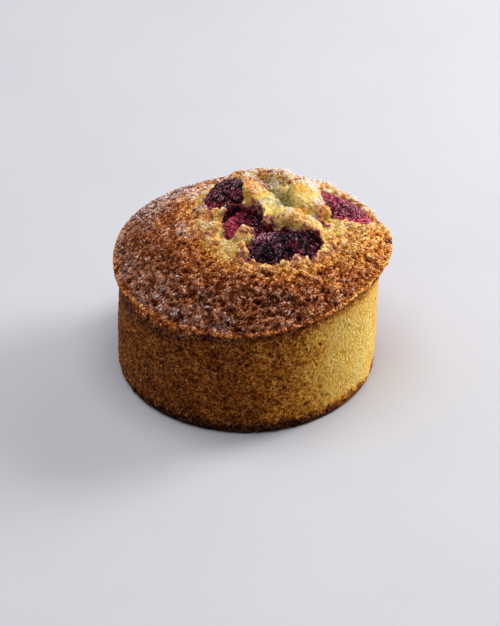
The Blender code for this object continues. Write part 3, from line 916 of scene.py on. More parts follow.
def set_value(made, name, values):
    """Store a value for each point, for the material to read."""
    attribute = made.data.attributes.new(name, "FLOAT", "POINT")
    attribute.data.foreach_set("value", np.asarray(values, np.float32))


def by_angle(angle, table):
    """A value from a table of compass angles in degrees."""
    at = [row[0] for row in table]
    values = [row[1] for row in table]
    return np.interp(np.degrees(angle), at, values)


def near_paths(x, y, rows):
    """Sum of soft bands along paths, each with its half width and strength."""
    total = 0.0 * x
    for path, half_width, strength in rows:
        total += strength * np.exp(-(path_distance(x, y, path) / half_width) ** 2)
    return total


def smooth_share(x, y):
    """1 on the smoothest lobes, 0 on loose crumb."""
    smooth = np.zeros_like(x)
    for name, share in SMOOTH_LOBES.items():
        path, half_width, _ = LOBES[name]
        smooth = np.maximum(smooth, share * fade(path_distance(x, y, path) / half_width, *SMOOTH_EDGE))
    return smooth


def front_wrinkles(x, y):
    """Wrinkles round the front of the crust, and how much of them each place has."""
    angle = np.arctan2(y, x)
    radius = np.hypot(x, y)
    along = angle * WRINKLE_RADIUS / WRINKLE_LENGTH
    wrinkle = grain(radius / WRINKLE_WIDTH, along, 0 * x, [(1.0, 1.0, WRINKLE_SHIFT)])
    return wrinkle, swell(angle, *WRINKLE_AT) * fade(radius, *WRINKLES_IN) * fade(radius, *WRINKLES_OUT)


def crust_relief(x, y, z):
    """Grains, lumps, wrinkles and pores of the crust, and how deep in a pore each place is."""
    heights = CRUST_HEIGHTS
    coarse = cells(x, y, z, *CRUST_COARSE)
    fine = cells(x, y, z, *CRUST_FINE)
    wrinkle, front = front_wrinkles(x, y)
    pore = pores(x, y, z, CRUST_PORES)
    relief = heights["coarse"] * (GRAIN_MIDDLE - coarse) + heights["fine"] * (GRAIN_MIDDLE - fine)
    relief += grain(x, y, z, CRUST_LUMPS)
    relief += heights["wrinkles"] * front * wrinkle - heights["pores"] * pore
    rim = rim_radius(np.arctan2(y, x))
    at_rim = ease((np.hypot(x, y) - RIM_LUMPS_FROM * rim) / RIM_LUMPS_FADE)
    relief += at_rim * (grain(x, y, z, RIM_LUMPS) - heights["lost at rim"] * relief)
    deep = pore + CRUST_DEEP["between grains"] * np.clip(coarse - GRAIN_MIDDLE, 0.0, 1.0)
    deep -= CRUST_DEEP["between wrinkles"] * front * np.clip(wrinkle, -1.0, 0.0)
    return relief, np.clip(deep, 0.0, 1.0)


def crumb_relief(x, y, z):
    """Soft lumps, small grains and pits of the open crumb, and how deep in a pit each place is."""
    heights = CRUMB_HEIGHTS
    less = {name: lost * smooth_share(x, y) for name, lost in CRUMB_SMOOTHED.items()}
    pore = pores(x, y, z, CRUMB_PORES)
    lumps = grain(x, y, z, CRUMB_LUMPS) + heights["knobs"] * (KNOB_MIDDLE - cells(x, y, z, *CRUMB_KNOBS))
    grains = GRAIN_MIDDLE - cells(x, y, z, *CRUMB_FINE)
    relief = (1.0 - less["lumps"]) * lumps + (heights["fine"] - less["fine"]) * grains
    relief += grain(x, y, z, CRUMB_DUST) - (heights["pores"] - less["pores"]) * pore
    return relief, pore * (1.0 - less["deep"])


def wall_relief(x, y, z):
    """Felt-like fine crumb of the wall with small and large pores and a coarser foot."""
    heights = WALL_HEIGHTS
    pore = pores(x, y, z, WALL_PORES)
    foot = heights["foot"] * (GRAIN_MIDDLE - cells(x, y, z, *FOOT_COARSE)) + grain(x, y, z, FOOT_LUMPS)
    relief = heights["fine"] * (GRAIN_MIDDLE - cells(x, y, z, *WALL_FINE)) + grain(x, y, z, WALL_LUMPS)
    return relief + fade(z, *ROUGH_FOOT) * foot - heights["pores"] * pore, pore


def skin_places(points, plan, part):
    """Each place on the fine cake's skin, with all that its relief and looks depend on."""
    x, y, z = points.T
    flat_x, flat_y = plan.T
    at = SimpleNamespace(x=x, y=y, z=z, flat_x=flat_x, flat_y=flat_y, part=part)
    at.angle = np.arctan2(y, x)
    at.share = rim_share(flat_x, flat_y)
    at.level = z - dome(flat_x, flat_y)
    at.smooth = smooth_share(flat_x, flat_y)
    at.loose = 1.0 - at.smooth
    at.patches = grain(x, y, z, PATCHES)
    at.inside = inside_ring(flat_x, flat_y, CRUMB) + grain(flat_x, flat_y, 0 * x, CRUMB_RAGGED)
    at.on_wall = fade(part, *ON_WALL)
    at.crumb = fade(at.inside, *CRUMB_EDGE) * (1.0 - at.on_wall)
    at.crust = (1.0 - at.crumb) * (1.0 - at.on_wall)
    return at


def cake_relief(at):
    """Relief of the skin, and how deep in a pore each place is."""
    rough = LEAST_ROUGH + (1.0 - LEAST_ROUGH) * fade(by_angle(at.angle, WALL_TOAST), *ROUGH_WALL)
    wall_rise, wall_pit = wall_relief(at.x, at.y, at.z)
    kinds = [
        (at.crust, *crust_relief(at.x, at.y, at.z)),
        (at.crumb, *crumb_relief(at.x, at.y, at.z)),
        (at.on_wall, rough * wall_rise, rough * wall_pit),
    ]
    relief = sum(share * rise for share, rise, _ in kinds)
    return relief, sum(share * pit for share, _, pit in kinds)


def crust_browning(at):
    """Browning of the crust: darker outwards, paler along its very edge, which is a painted highlight."""
    strengths = CRUST_BROWNING
    bearing = np.arctan2(at.flat_y - CROWN_Y, at.flat_x - CROWN_X)
    outward = np.clip(-at.inside, 0.0, None) / by_angle(bearing, BROWNING)
    toast = strengths["least"] + strengths["range"] * (1.0 - np.exp(-strengths["speed"] * outward))
    toast += strengths["patches"] * at.patches + by_angle(at.angle, CRUST_TINT)
    # The paler line along the crust's edge is a painted highlight
    toast += strengths["edge"] * fade(at.share, *RIM_HIGHLIGHT) * fade(at.part, *TOP_ONLY)
    toast += strengths["underside"] * fade(at.part, *UNDERSIDE)
    return toast + near_paths(at.x, at.y, BURNS)


def crumb_browning(at):
    """Browning of the crumb: more at its border, on its high lobes and where it is loose."""
    strengths = CRUMB_BROWNING
    toast = strengths["least"] + strengths["loose"] * at.loose + strengths["patches"] * at.patches
    toast += near_paths(at.flat_x, at.flat_y, TOASTS)
    toast += at.loose * grain(at.x, at.y, at.z, LOOSE_PATCHES)
    toast += grain(at.x, at.y, at.z, CRUMB_PATCHES)
    toast += strengths["border"] * fade(at.inside, *CRUMB_BORDER)
    return toast + strengths["height"] * np.clip(at.level, *HEIGHT_LIMITS)


def wall_browning(at):
    """Browning of the wall: by compass angle, with a browner foot, a darker top and lip underside that are
    partly painted shade under the rim, and a painted contact shadow at the floor.
    """
    strengths = WALL_BROWNING
    toast = by_angle(at.angle, WALL_TOAST) + strengths["patches"] * at.patches
    to_foot = FOOT_TOAST - np.minimum(toast, FOOT_TOAST) + strengths["foot"]
    to_foot += strengths["front foot"] * swell(at.angle, *FRONT_FOOT)
    foot_top = FOOT_TOP + grain(at.x, at.y, 0 * at.z, FOOT_RAGGED)
    toast += to_foot * ease((foot_top - at.z) / FOOT_FADE)
    # The darker top and lip underside are partly browning and partly painted shade under the rim's overhang
    toast += strengths["top"] * fade(at.z / RIM_HEIGHT, *WALL_TOP)
    # A dark line at the floor on the front left is a painted contact shadow
    toast += strengths["painted contact shadow"] * fade(at.z, *CONTACT_SHADOW_HEIGHT) * swell(at.angle, *CONTACT_SHADOW_AT)
    return toast + strengths["painted shade under rim"] * fade(at.part, *UNDER_RIM)


def browning(at, relief):
    """Browning of the whole skin, paler on its high grains and browner in its hollows: painted light and
    shade on the grains.
    """
    toast = at.crust * crust_browning(at) + at.crumb * crumb_browning(at) + at.on_wall * wall_browning(at)
    # Relief lightens the high grains and browns the hollows: painted light and shade
    on_crumb = CRUMB_BROWNING["high grains"] + CRUMB_BROWNING["high loose grains"] * at.loose
    high = CRUST_BROWNING["high grains"] * at.crust + on_crumb * at.crumb
    return toast + (high + WALL_BROWNING["high grains"] * at.on_wall) * relief


def juice_stain(at):
    """Juice soaked into the crumb along its paths and round the berries, darker deeper in the openings:
    painted shade in the hollows.
    """
    stain = near_paths(at.flat_x, at.flat_y, STAINS)
    for name, berry in BERRIES.items():
        edge = inside_ring(at.flat_x, at.flat_y, berry["opening"])
        # Below a berry's stain level the stain grows towards near black: painted shade deep in the opening
        depth = STAIN_LEVELS[name] - at.level
        strength = STAIN_LEAST + (1.0 - STAIN_LEAST) * fade(depth, *SHADED_DEEP_IN_OPENINGS)
        stain += strength * fade(edge, *STAIN_EDGE) * fade(depth, *SOAKED)
        stain += STAIN_RING_STRENGTH * fade(edge, *STAIN_RING)
    return np.clip(stain, 0.0, 1.0) * (1.0 - at.on_wall)


def sugar_cover(at, stain):
    """Icing sugar that lies on the top."""
    sugar = near_paths(at.flat_x, at.flat_y, SUGAR) + SUGAR_FLOOR + SUGAR_ON_CRUMB * at.crumb
    sugar = sugar * fade(at.share, *SUGARED_SHARE) * fade(at.part, *SUGARED_PART)
    sugar = np.clip(sugar * (SUGAR_EVEN + grain(at.x, at.y, at.z, SUGAR_PATCHES)), 0.0, 1.0)
    return sugar * (1.0 - at.on_wall) * (1.0 - SUGAR_LOST_IN_JUICE * stain)


def cake_looks(points, plan, part):
    """Relief of the fine cake, and the values at each of its points that the material reads."""
    at = skin_places(points, plan, part)
    relief, pit = cake_relief(at)
    stain = juice_stain(at)
    looks = {
        "toast": browning(at, relief),
        "stain": stain,
        "sugar": sugar_cover(at, stain),
        "moist_and_shade": np.clip(near_paths(at.flat_x, at.flat_y, MOIST_CRUMB_AND_SHADE), 0.0, 1.0) * at.crumb,
        "pit": pit,
        "relief": relief,
        "crumb": at.crumb,
        "wall": at.on_wall,
        "smooth": at.smooth,
    }
    return relief, looks


class Graph:
    """A material and its nodes, added and joined by short calls."""

    def __init__(self, name):
        self.material = bpy.data.materials.new(name)
        self.material.use_nodes = True
        self.tree = self.material.node_tree
        self.shader = self.tree.nodes["Principled BSDF"]

    def drive(self, name, value):
        """Join a value to one of the shader's sockets."""
        self.tree.links.new(value, self.shader.inputs[name])

    def fix(self, name, value):
        """Set one of the shader's sockets."""
        self.shader.inputs[name].default_value = value

    def add(self, kind, inputs, **settings):
        """A node with its settings, and its inputs joined to sockets or set to values."""
        made = self.tree.nodes.new(kind)
        for name, value in settings.items():
            setattr(made, name, value)
        for name, value in inputs.items():
            if isinstance(value, bpy.types.NodeSocket):
                self.tree.links.new(value, made.inputs[name])
            else:
                made.inputs[name].default_value = value
        return made

    def read(self, name):
        """A value stored on the mesh."""
        return self.add("ShaderNodeAttribute", {}, attribute_name=name).outputs["Fac"]

    def maths(self, operation, first, second):
        """One operation on two values."""
        return self.add("ShaderNodeMath", {0: first, 1: second}, operation=operation).outputs[0]

    def plus(self, first, second):
        """Two values added."""
        return self.maths("ADD", first, second)

    def times(self, first, second):
        """Two values multiplied."""
        return self.maths("MULTIPLY", first, second)

    def rest(self, value):
        """What a share leaves of the whole."""
        return self.maths("SUBTRACT", 1.0, value)

    def spread(self, value, name):
        """A value moved smoothly from one range to another, by its row in RANGES."""
        low, high, out_low, out_high = RANGES[name]
        inputs = {"Value": value, "From Min": low, "From Max": high, "To Min": out_low, "To Max": out_high}
        return self.add("ShaderNodeMapRange", inputs, interpolation_type="SMOOTHSTEP").outputs["Result"]

    def place(self, shift):
        """Places on the object, shifted to give a pattern its own draw."""
        place = self.add("ShaderNodeTexCoord", {}).outputs["Object"]
        inputs = {0: place, 1: (shift, shift, shift)}
        return self.add("ShaderNodeVectorMath", inputs, operation="ADD").outputs[0]

    def speckle(self, name):
        """Noise of 0..1, by its row in SPECKLES."""
        width, detail, shift = SPECKLES[name]
        inputs = {"Vector": self.place(shift), "Scale": 1.0 / (width * MM), "Detail": detail}
        inputs["Roughness"] = SPECKLE_ROUGHNESS
        return self.add("ShaderNodeTexNoise", inputs).outputs["Fac"]

    def scattered(self, spacing, shift):
        """Scattered cells: distance to the nearest centre, and the cell's own colour."""
        inputs = {"Vector": self.place(shift), "Scale": 1.0 / (spacing * MM)}
        return self.add("ShaderNodeTexVoronoi", inputs).outputs

    def crystals(self, name, share):
        """Bright specks of 0..1 in a share of the cells, by their row in CRYSTALS."""
        spacing, radius, shift = CRYSTALS[name]
        found = self.scattered(spacing, shift)
        lot = self.add("ShaderNodeSeparateColor", {0: found["Color"]}).outputs[0]
        edge = radius / spacing
        inputs = {"Value": found["Distance"], "From Min": edge, "From Max": 0.5 * edge}
        spot = self.add("ShaderNodeMapRange", inputs, interpolation_type="SMOOTHSTEP").outputs["Result"]
        return self.times(spot, self.maths("LESS_THAN", lot, share))

    def blend(self, share, first, second, kind="MIX"):
        """Two colours mixed by a share."""
        made = self.add("ShaderNodeMix", {}, data_type="RGBA", blend_type=kind)
        for index, value in ((0, share), (6, first), (7, second)):
            if isinstance(value, bpy.types.NodeSocket):
                self.tree.links.new(value, made.inputs[index])
            elif index == 0:
                made.inputs[0].default_value = value
            else:
                made.inputs[index].default_value = (*value, 1.0)
        return made.outputs[2]

    def tint(self, colour, second):
        """A colour multiplied by another."""
        return self.blend(1.0, colour, second, "MULTIPLY")

    def ramp(self, value, stops):
        """Colours by a value."""
        made = self.add("ShaderNodeValToRGB", {"Fac": value})
        elements = made.color_ramp.elements
        while len(elements) < len(stops):
            elements.new(0.5)
        for element, (at, colour) in zip(elements, stops):
            element.position = at
            element.color = (*colour, 1.0)
        return made.outputs["Color"]

    def bumps(self, layers):
        """Roughen the surface by layers of height, each with its depth and strength."""
        inputs = {}
        for height, depth, strength in layers:
            inputs.update({"Height": height, "Distance": depth * MM, "Strength": strength})
            inputs["Normal"] = self.add("ShaderNodeBump", inputs).outputs["Normal"]
        self.drive("Normal", inputs["Normal"])


def cake_tones(graph):
    """What the cake's colours and surface depend on."""
    at = SimpleNamespace(wall=graph.read("wall"), crumb=graph.read("crumb"), relief=graph.read("relief"))
    at.fine = graph.speckle("cake fine")
    at.middle = graph.speckle("cake middle")
    at.broad = graph.speckle("cake broad")
    at.fine_step = graph.spread(at.fine, "fine step")
    middle_step = graph.spread(at.middle, "middle step")
    broad_step = graph.spread(at.broad, "middle step")
    browned = graph.read("toast")
    at.calm_wall = graph.times(at.wall, graph.spread(browned, "calm wall by browning"))
    at.calm_crumb = graph.times(at.crumb, graph.spread(graph.read("smooth"), "calm crumb by smoothness"))
    at.lively = graph.rest(graph.maths("MAXIMUM", at.calm_wall, at.calm_crumb))
    change = 0.0
    for step, strength in zip((at.fine_step, middle_step, broad_step), BROWNING_CHANGES):
        change = graph.plus(change, graph.times(step, strength))
    at.toast = graph.plus(browned, graph.times(change, at.lively))
    value = graph.times(graph.plus(at.fine_step, graph.times(middle_step, TONE_OF_MIDDLE)), at.lively)
    inputs = {"Value": value, "From Min": -TONE_LIMIT, "From Max": TONE_LIMIT}
    at.tone = graph.add("ShaderNodeMapRange", inputs).outputs["Result"]
    return at


def baked_colour(graph, at):
    """Crumb and crust by browning, with tan flecks, darker and paler grains, a painted sheen on the lighter
    grains and painted glints on the high grains.
    """
    colour = graph.ramp(at.toast, BROWNS)
    # Tan flecks lighten some grains: partly painted highlights, partly the grains' own colour
    tan = graph.spread(graph.speckle("cake tan"), "tan flecks")
    colour = graph.blend(graph.times(tan, graph.times(at.lively, at.lively)), colour, TAN)
    shades = graph.blend(at.crumb, graph.ramp(at.tone, SHADES), graph.ramp(at.tone, CRUMB_SHADES))
    colour = graph.tint(colour, shades)
    colour = graph.tint(colour, graph.blend(at.crumb, graph.blend(at.wall, WHITE, WALL_TINT), CRUMB_TINT))
    inputs = {0: colour, "Scale": graph.spread(at.crumb, "gain by crumb")}
    colour = graph.add("ShaderNodeVectorMath", inputs, operation="SCALE").outputs[0]
    # Lighter grains are blended towards pale pink-white: a painted sheen for the gloss of the grains
    pale = graph.times(graph.spread(at.tone, "pale by tone"), graph.spread(at.wall, "pale by wall"))
    pale_crumb = graph.times(at.crumb, graph.spread(at.tone, "pale crumb by tone"))
    pale_crumb = graph.times(pale_crumb, graph.spread(at.toast, "pale crumb by browning"))
    pale = graph.plus(pale, pale_crumb)
    colour = graph.blend(pale, colour, graph.blend(at.crumb, CRUST_SHEEN, CRUMB_SHEEN))
    # Glints on the high grains are painted highlights
    glints = graph.crystals("cake glints", GLINT_SHARE)
    glints = graph.times(glints, graph.spread(at.relief, "glints by height"))
    glints = graph.times(glints, graph.spread(at.wall, "glints by wall"))
    return graph.blend(glints, colour, graph.blend(at.crumb, CRUST_GLINT, CRUMB_GLINT))


def with_juice(graph, at, colour):
    """A colour with darker crumb in the valleys, partly wet and partly painted shade, and juice in it, and
    how much juice there is.
    """
    # The valleys' darker crumb paints the shade the lobes cast there, with a wetter, greener tint
    moist_and_shade = graph.times(graph.read("moist_and_shade"), graph.spread(at.middle, "moist_and_shade"))
    colour = graph.blend(moist_and_shade, colour, graph.tint(colour, MOIST_SHADE))
    soaked = graph.read("stain")
    mottle = graph.plus(graph.spread(at.middle, "middle juice"), graph.spread(at.broad, "broad juice"))
    juice = graph.plus(soaked, graph.times(mottle, graph.spread(soaked, "juice mottled")))
    stain = graph.ramp(graph.plus(juice, graph.times(at.fine_step, JUICE_GRAIN)), JUICE)
    return graph.blend(graph.spread(juice, "juice shows"), colour, stain), juice


def small_holes(graph, at):
    """Holes too small for the mesh, darkened as painted shade."""
    small = graph.spread(graph.speckle("cake small holes"), "small holes")
    large = graph.spread(graph.speckle("cake large holes"), "large holes")
    return graph.times(graph.maths("MAXIMUM", small, large), graph.spread(at.lively, "holes by liveliness"))


def icing(graph, at, dark):
    """Bright specks of sugar, and a fine veil of it outside the dark pores."""
    sugar = graph.read("sugar")
    share = graph.plus(graph.times(sugar, SPECK_SHARE), graph.spread(at.wall, "sugar by wall"))
    small = graph.crystals("small sugar", share)
    large = graph.crystals("large sugar", graph.times(share, LARGE_SPECKS))
    specks = graph.times(graph.maths("MAXIMUM", small, large), graph.spread(at.relief, "sugar by height"))
    veil = graph.times(sugar, graph.spread(at.fine, "veil by grain"))
    veil = graph.times(veil, graph.spread(at.relief, "veil by height"))
    return specks, graph.times(veil, graph.rest(dark))


def cake_surface(graph, at, juice, specks, holes):
    """Roughness, gloss, glow and bumps of the cake."""
    rough = graph.spread(specks, "cake roughness")
    graph.drive("Roughness", graph.maths("SUBTRACT", rough, graph.times(at.crumb, CRUMB_WETNESS)))
    wet = graph.times(at.crumb, graph.spread(juice, "wet by juice"))
    graph.drive("Specular IOR Level", graph.plus(graph.spread(specks, "cake gloss"), wet))
    graph.drive("Subsurface Weight", graph.times(at.crumb, CRUMB_GLOW))
    graph.fix("Subsurface Radius", GLOW_REACH)
    graph.fix("Subsurface Scale", GLOW_SCALE * MM)
    even = graph.spread(at.calm_crumb, "bumps by crumb")
    even = graph.times(even, graph.spread(at.calm_wall, "bumps by wall"))
    heights = {"middle": at.middle, "fine": at.fine, "holes": graph.rest(holes)}
    graph.bumps([(heights[name], depth, even) for name, depth in CAKE_BUMPS.items()])


def cake_material():
    """Baked crumb and crust: browning, juice, pores, grains and icing sugar, with painted shade in the
    pores, valleys and deep openings and painted highlights on the grains.
    """
    graph = Graph("cake")
    at = cake_tones(graph)
    colour, juice = with_juice(graph, at, baked_colour(graph, at))
    holes = small_holes(graph, at)
    # Pores and small holes are darkened by PORE_SHADE: painted shade in the hollows
    dark = graph.maths("MAXIMUM", graph.times(graph.read("pit"), PIT_DARKNESS), holes)
    colour = graph.blend(dark, colour, graph.tint(colour, PORE_SHADE))
    specks, veil = icing(graph, at, dark)
    graph.drive("Base Color", graph.blend(graph.maths("MAXIMUM", specks, veil), colour, SUGAR_WHITE))
    cake_surface(graph, at, juice, specks, holes)
    return graph.material


def cake_piece(name, faces, points, normals, looks, material):
    """One part of the fine cake's skin, shaded as if it were joined to the rest."""
    used, corners = np.unique(np.concatenate([np.ravel(face) for face in faces]), return_inverse=True)
    ends = np.cumsum([len(face) for face in faces])
    own_faces = [corners[end - len(face):end].tolist() for face, end in zip(faces, ends)]
    piece = mesh_object(name, points[used], own_faces)
    piece.data.normals_split_custom_set_from_vertices(normals[used].tolist())
    for look, values in looks.items():
        set_value(piece, look, values[used])
    piece.data.materials.append(material)
    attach(piece, "root")
    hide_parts("cake")


def make_cake():
    """The fine cake: its top with the rim, its side, and its foot with the base."""
    points, plan, part, faces = cake_points()
    whole = mesh_object("whole", points, faces)
    relief, looks = cake_looks(points, plan, part)
    outward = normals_of(whole)
    gentle = LEAST_LIFT + (1.0 - LEAST_LIFT) * fade(outward[:, 2], *FACING_UP)
    gentle = np.maximum(gentle, part > 0.0) * fade(points[:, 2], *ABOVE_FLOOR)
    points = points + outward * (relief * gentle)[:, None]
    set_points(whole, points)
    normals = normals_of(whole)
    bpy.data.objects.remove(whole)
    material = cake_material()
    side_start = TOP_CELLS * (TOP_CELLS + 4 * TOP_LIP_RINGS)
    foot_start = TOP_CELLS * (TOP_CELLS + 4 * (LIP_RINGS + WALL_RINGS // 2))
    cake_piece("cake_top", faces[:side_start], points, normals, looks, material)
    cake_piece("cake_side", faces[side_start:foot_start], points, normals, looks, material)
    cake_piece("cake_foot", faces[foot_start:], points, normals, looks, material)
    return points, looks


def berry_points(berry):
    """Points of a fine berry from its top to its underside, and their tilts."""
    centre, bearing, radius = outline_of(berry["opening"])
    around = np.linspace(-pi, pi, BERRY_ROUND, endpoint=False)
    widest = BERRY_SPREAD * np.interp(around, bearing, radius, period=2 * pi)
    tilts = pi / 2 - pi * np.linspace(0.0, 1.0, BERRY_RINGS + 2)[1:-1]
    tilt, turn = np.meshgrid(tilts, around, indexing="ij")
    out = widest[None, :] * np.cos(tilt) ** BERRY_FULLNESS
    x = centre[0] + out * np.cos(turn)
    y = centre[1] + out * np.sin(turn)
    half = np.where(tilt > 0, berry["rise"], berry["under"])
    z = dome(x, y) - berry["shoulder"] + half * np.sin(tilt)
    if berry["seam"]:
        away = path_distance(x, y, berry["seam"]) / SEAM_WIDTH
        z -= SEAM_DEPTH * np.clip(np.sin(tilt), 0.0, 1.0) * np.exp(-away * away)
    ends = []
    for height in (berry["rise"], -berry["under"]):
        ends.append([centre[0], centre[1], float(dome(*centre)) - berry["shoulder"] + height])
    rows = np.stack([np.ravel(x), np.ravel(y), np.ravel(z)], 1)
    return np.concatenate([rows, np.array(ends)]), np.concatenate([np.ravel(tilt), [pi / 2, -pi / 2]])


def berry_faces():
    """Faces of a berry's rings and its two ends."""
    index = np.arange(BERRY_ROUND * BERRY_RINGS).reshape(BERRY_RINGS, BERRY_ROUND)
    after = np.roll(index, -1, 1)
    faces = np.stack([np.ravel(v) for v in (index[:-1], index[1:], after[1:], after[:-1])], 1).tolist()
    top = BERRY_ROUND * BERRY_RINGS
    faces += [[top, int(a), int(b)] for a, b in zip(index[0], after[0])]
    faces += [[top + 1, int(b), int(a)] for a, b in zip(index[-1], after[-1])]
    return faces


def berry_material():
    """Moist baked berry skin, purple-black to crimson, with painted highlights on its fold tops and painted
    glints.
    """
    graph = Graph("berry")
    dust = graph.read("dust")
    relief = graph.read("relief")
    fine = graph.speckle("berry fine")
    middle = graph.speckle("berry middle")
    broad = graph.speckle("berry broad")
    beads = graph.spread(graph.scattered(*BERRY_BEADS)["Distance"], "bead top")
    tint = graph.read("crimson")
    for value, kind in ((middle, "middle"), (fine, "fine"), (beads, "beads"), (broad, "broad")):
        tint = graph.plus(tint, graph.spread(value, "skin " + kind))
    # Fold tops are lightened towards pale purple: a painted highlight
    folds = graph.times(graph.spread(relief, "folds by height"), graph.spread(fine, "folds by grain"))
    colour = graph.blend(folds, graph.ramp(tint, SKIN), FOLD_HIGHLIGHT)
    # Glints on the skin are painted highlights, also given low roughness and strong gloss
    specks = graph.crystals("berry glints", graph.plus(graph.spread(broad, "skin glints"), dust))
    specks = graph.times(specks, graph.spread(relief, "skin glints by height"))
    colour = graph.blend(specks, colour, SKIN_GLINT)
    veil = graph.times(dust, graph.spread(fine, "skin veil"))
    graph.drive("Base Color", graph.blend(veil, colour, SKIN_VEIL))
    graph.drive("Roughness", graph.spread(specks, "skin roughness"))
    graph.drive("Specular IOR Level", graph.spread(specks, "skin gloss"))
    graph.fix("IOR", SKIN_IOR)
    heights = {"middle": middle, "beads": beads, "fine": fine}
    graph.bumps([(heights[name], depth, strength) for name, (depth, strength) in SKIN_BUMPS.items()])
    return graph.material


def spot(x, y, place, radius):
    """A soft round spot of 1 about a place."""
    return np.exp(-(np.hypot(x - place[0], y - place[1]) / radius) ** 2)


def berry_looks(x, y, z, berry, looks):
    """Relief of a berry, and the crimson and sugar at each of its points, with patches of painted shade."""
    near = cells(x, y, z, *DRUPELET) / DRUPELET_EDGE
    bump = np.sqrt(np.clip(1.0 - near ** 2, 0.0, 1.0)) - DRUPELET_MIDDLE
    folds = np.clip(np.abs(grain(x, y, z, FOLDS)), 0.0, FOLD_LIMIT)
    creases = np.clip(np.abs(grain(x, y, z, CREASES)), 0.0, CREASE_LIMIT)
    relief = DRUPELET_HEIGHT * bump + folds + CREASE_HEIGHT * creases
    relief += SKIN_LEVEL + grain(x, y, z, SKIN_GRAINS)
    edge = fade(inside_ring(x, y, berry["opening"]), *BERRY_EDGE)
    crimson = looks["crimson"] + SKIN_CRIMSON["edge"] * edge
    crimson += SKIN_CRIMSON["drupelets"] * bump + SKIN_CRIMSON["folds"] * (folds - FOLD_MIDDLE)
    dust = looks["dust"] + 0.0 * x
    # Patches that take crimson away paint shade on the skin
    for place, radius, redder, dustier in looks["patches"]:
        crimson += redder * spot(x, y, place, radius)
        dust += dustier * spot(x, y, place, radius)
    return relief, {"relief": relief, "crimson": crimson, "dust": np.clip(dust, 0.0, 1.0)}


def make_berries():
    """The fine berries with lumps, drupelets and folds, in their openings."""
    material = berry_material()
    for name, berry in BERRIES.items():
        points, tilt = berry_points(berry)
        shown = fade(tilt, *BERRY_SHOWN)
        for place, radius, height in berry["lumps"]:
            points[:, 2] += height * shown * spot(points[:, 0], points[:, 1], place, radius)
        made = mesh_object(name + "_fine", points, berry_faces())
        relief, looks = berry_looks(*points.T, berry, BERRY_LOOKS[name])
        set_points(made, points + normals_of(made) * (relief * shown)[:, None])
        for look, values in looks.items():
            set_value(made, look, values)
        made.data.materials.append(material)
        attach(made, "root")
        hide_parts(name)


def plain_material(name, tones, roughness):
    """A material with two close tones and one roughness."""
    graph = Graph(name)
    graph.drive("Base Color", graph.ramp(graph.speckle(name), tones))
    graph.fix("Roughness", roughness)
    return graph.material


def clump_shape():
    """Corners and triangles of a round clump of 1 mm radius."""
    shape = bmesh.new()
    bmesh.ops.create_icosphere(shape, subdivisions=1, radius=1.0)
    corners = np.array([vertex.co[:] for vertex in shape.verts])
    sides = np.array([[vertex.index for vertex in face.verts] for face in shape.faces])
    shape.free()
    return corners, sides


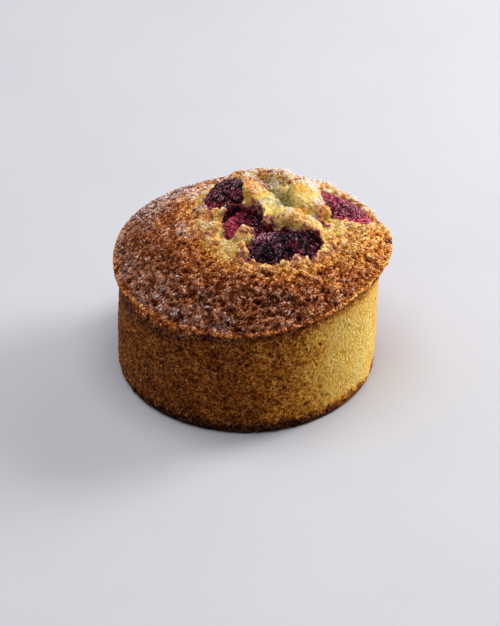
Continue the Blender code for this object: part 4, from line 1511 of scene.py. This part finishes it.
def make_sugar(points, looks):
    """Small clumps of icing sugar that lie on the crust."""
    draw = np.random.default_rng(SEED)
    high = np.clip(SUGAR_LEVEL + SUGAR_BY_HEIGHT * looks["relief"], 0.0, 1.0)
    weight = looks["sugar"] ** SUGAR_GATHERED * high * (1.0 - looks["pit"])
    chosen = draw.choice(len(points), SUGAR_GRAINS, p=weight / weight.sum())
    corners, sides = clump_shape()
    smallest, more, rarity = SUGAR_SIZES
    least, further = SUGAR_STRETCH
    all_points = []
    for pick in chosen:
        size = smallest + more * draw.random() ** rarity
        uneven = draw.standard_normal((len(corners), 1)).clip(-1, 1)
        stretch = least + further * draw.random(3)
        place = points[pick] + draw.uniform(-SUGAR_JITTER, SUGAR_JITTER, 3) * SUGAR_JITTER_SHAPE
        clump = corners * (1.0 + SUGAR_LUMPS * uneven) * stretch * size
        all_points.append(clump + place + (0, 0, SUGAR_LIFT * size))
    all_faces = [sides + number * len(corners) for number in range(SUGAR_GRAINS)]
    made = mesh_object("sugar_grains", np.concatenate(all_points), np.concatenate(all_faces).tolist())
    made.data.materials.append(plain_material("sugar", SUGAR_TONES, SUGAR_ROUGHNESS))
    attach(made, "root")
    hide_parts("cake")


def add_aimed(name, data, location, back):
    """An object at a place, looking the opposite way to a direction."""
    made = bpy.data.objects.new(name, data)
    bpy.context.scene.collection.objects.link(made)
    made.location = location
    made.rotation_euler = (-back).to_track_quat("-Z", "Y").to_euler()
    return made


def make_camera():
    """The camera at the viewing angle of the shown side."""
    lift = math.radians(CAMERA_LIFT)
    back = Vector((0.0, -math.cos(lift), math.sin(lift)))
    data = bpy.data.cameras.new("camera")
    data.lens = CAMERA_FOCUS / PICTURE_HEIGHT * data.sensor_width
    data.clip_start = CAMERA_NEAREST
    location = (Vector(CAMERA_TARGET) + back * CAMERA_AWAY) * MM
    bpy.context.scene.camera = add_aimed("camera", data, location, back)


def make_lights():
    """Key from the right and slightly behind, soft lights round the cake, and a dark room."""
    for name, azimuth, lift, away, size, power, colour in LIGHTS:
        turn = math.radians(azimuth)
        rise = math.radians(lift)
        flat = math.cos(rise)
        back = Vector((math.cos(turn) * flat, math.sin(turn) * flat, math.sin(rise)))
        data = bpy.data.lights.new(name, "AREA")
        data.shape = "DISK"
        data.size = size
        data.energy = power
        data.color = colour
        add_aimed(name, data, Vector(LIGHT_TARGET) + back * away, back)
    world = bpy.data.worlds.new("room")
    world.use_nodes = True
    background = world.node_tree.nodes["Background"]
    background.inputs["Color"].default_value = (0.0, 0.0, 0.0, 1.0)
    background.inputs["Strength"].default_value = 0.0
    bpy.context.scene.world = world


def make_floor():
    """A plain pale floor."""
    half = FLOOR_HALF
    corners = np.array([(-half, -half, 0.0), (half, -half, 0.0), (half, half, 0.0), (-half, half, 0.0)])
    floor = mesh_object("floor", corners, [[0, 1, 2, 3]])
    floor.data.materials.append(plain_material("floor", FLOOR_TONES, FLOOR_ROUGHNESS))


make_camera()
make_lights()
make_floor()
skin_points, skin_looks = make_cake()
make_berries()
make_sugar(skin_points, skin_looks)

bpy.context.scene.view_settings.view_transform = "Standard"
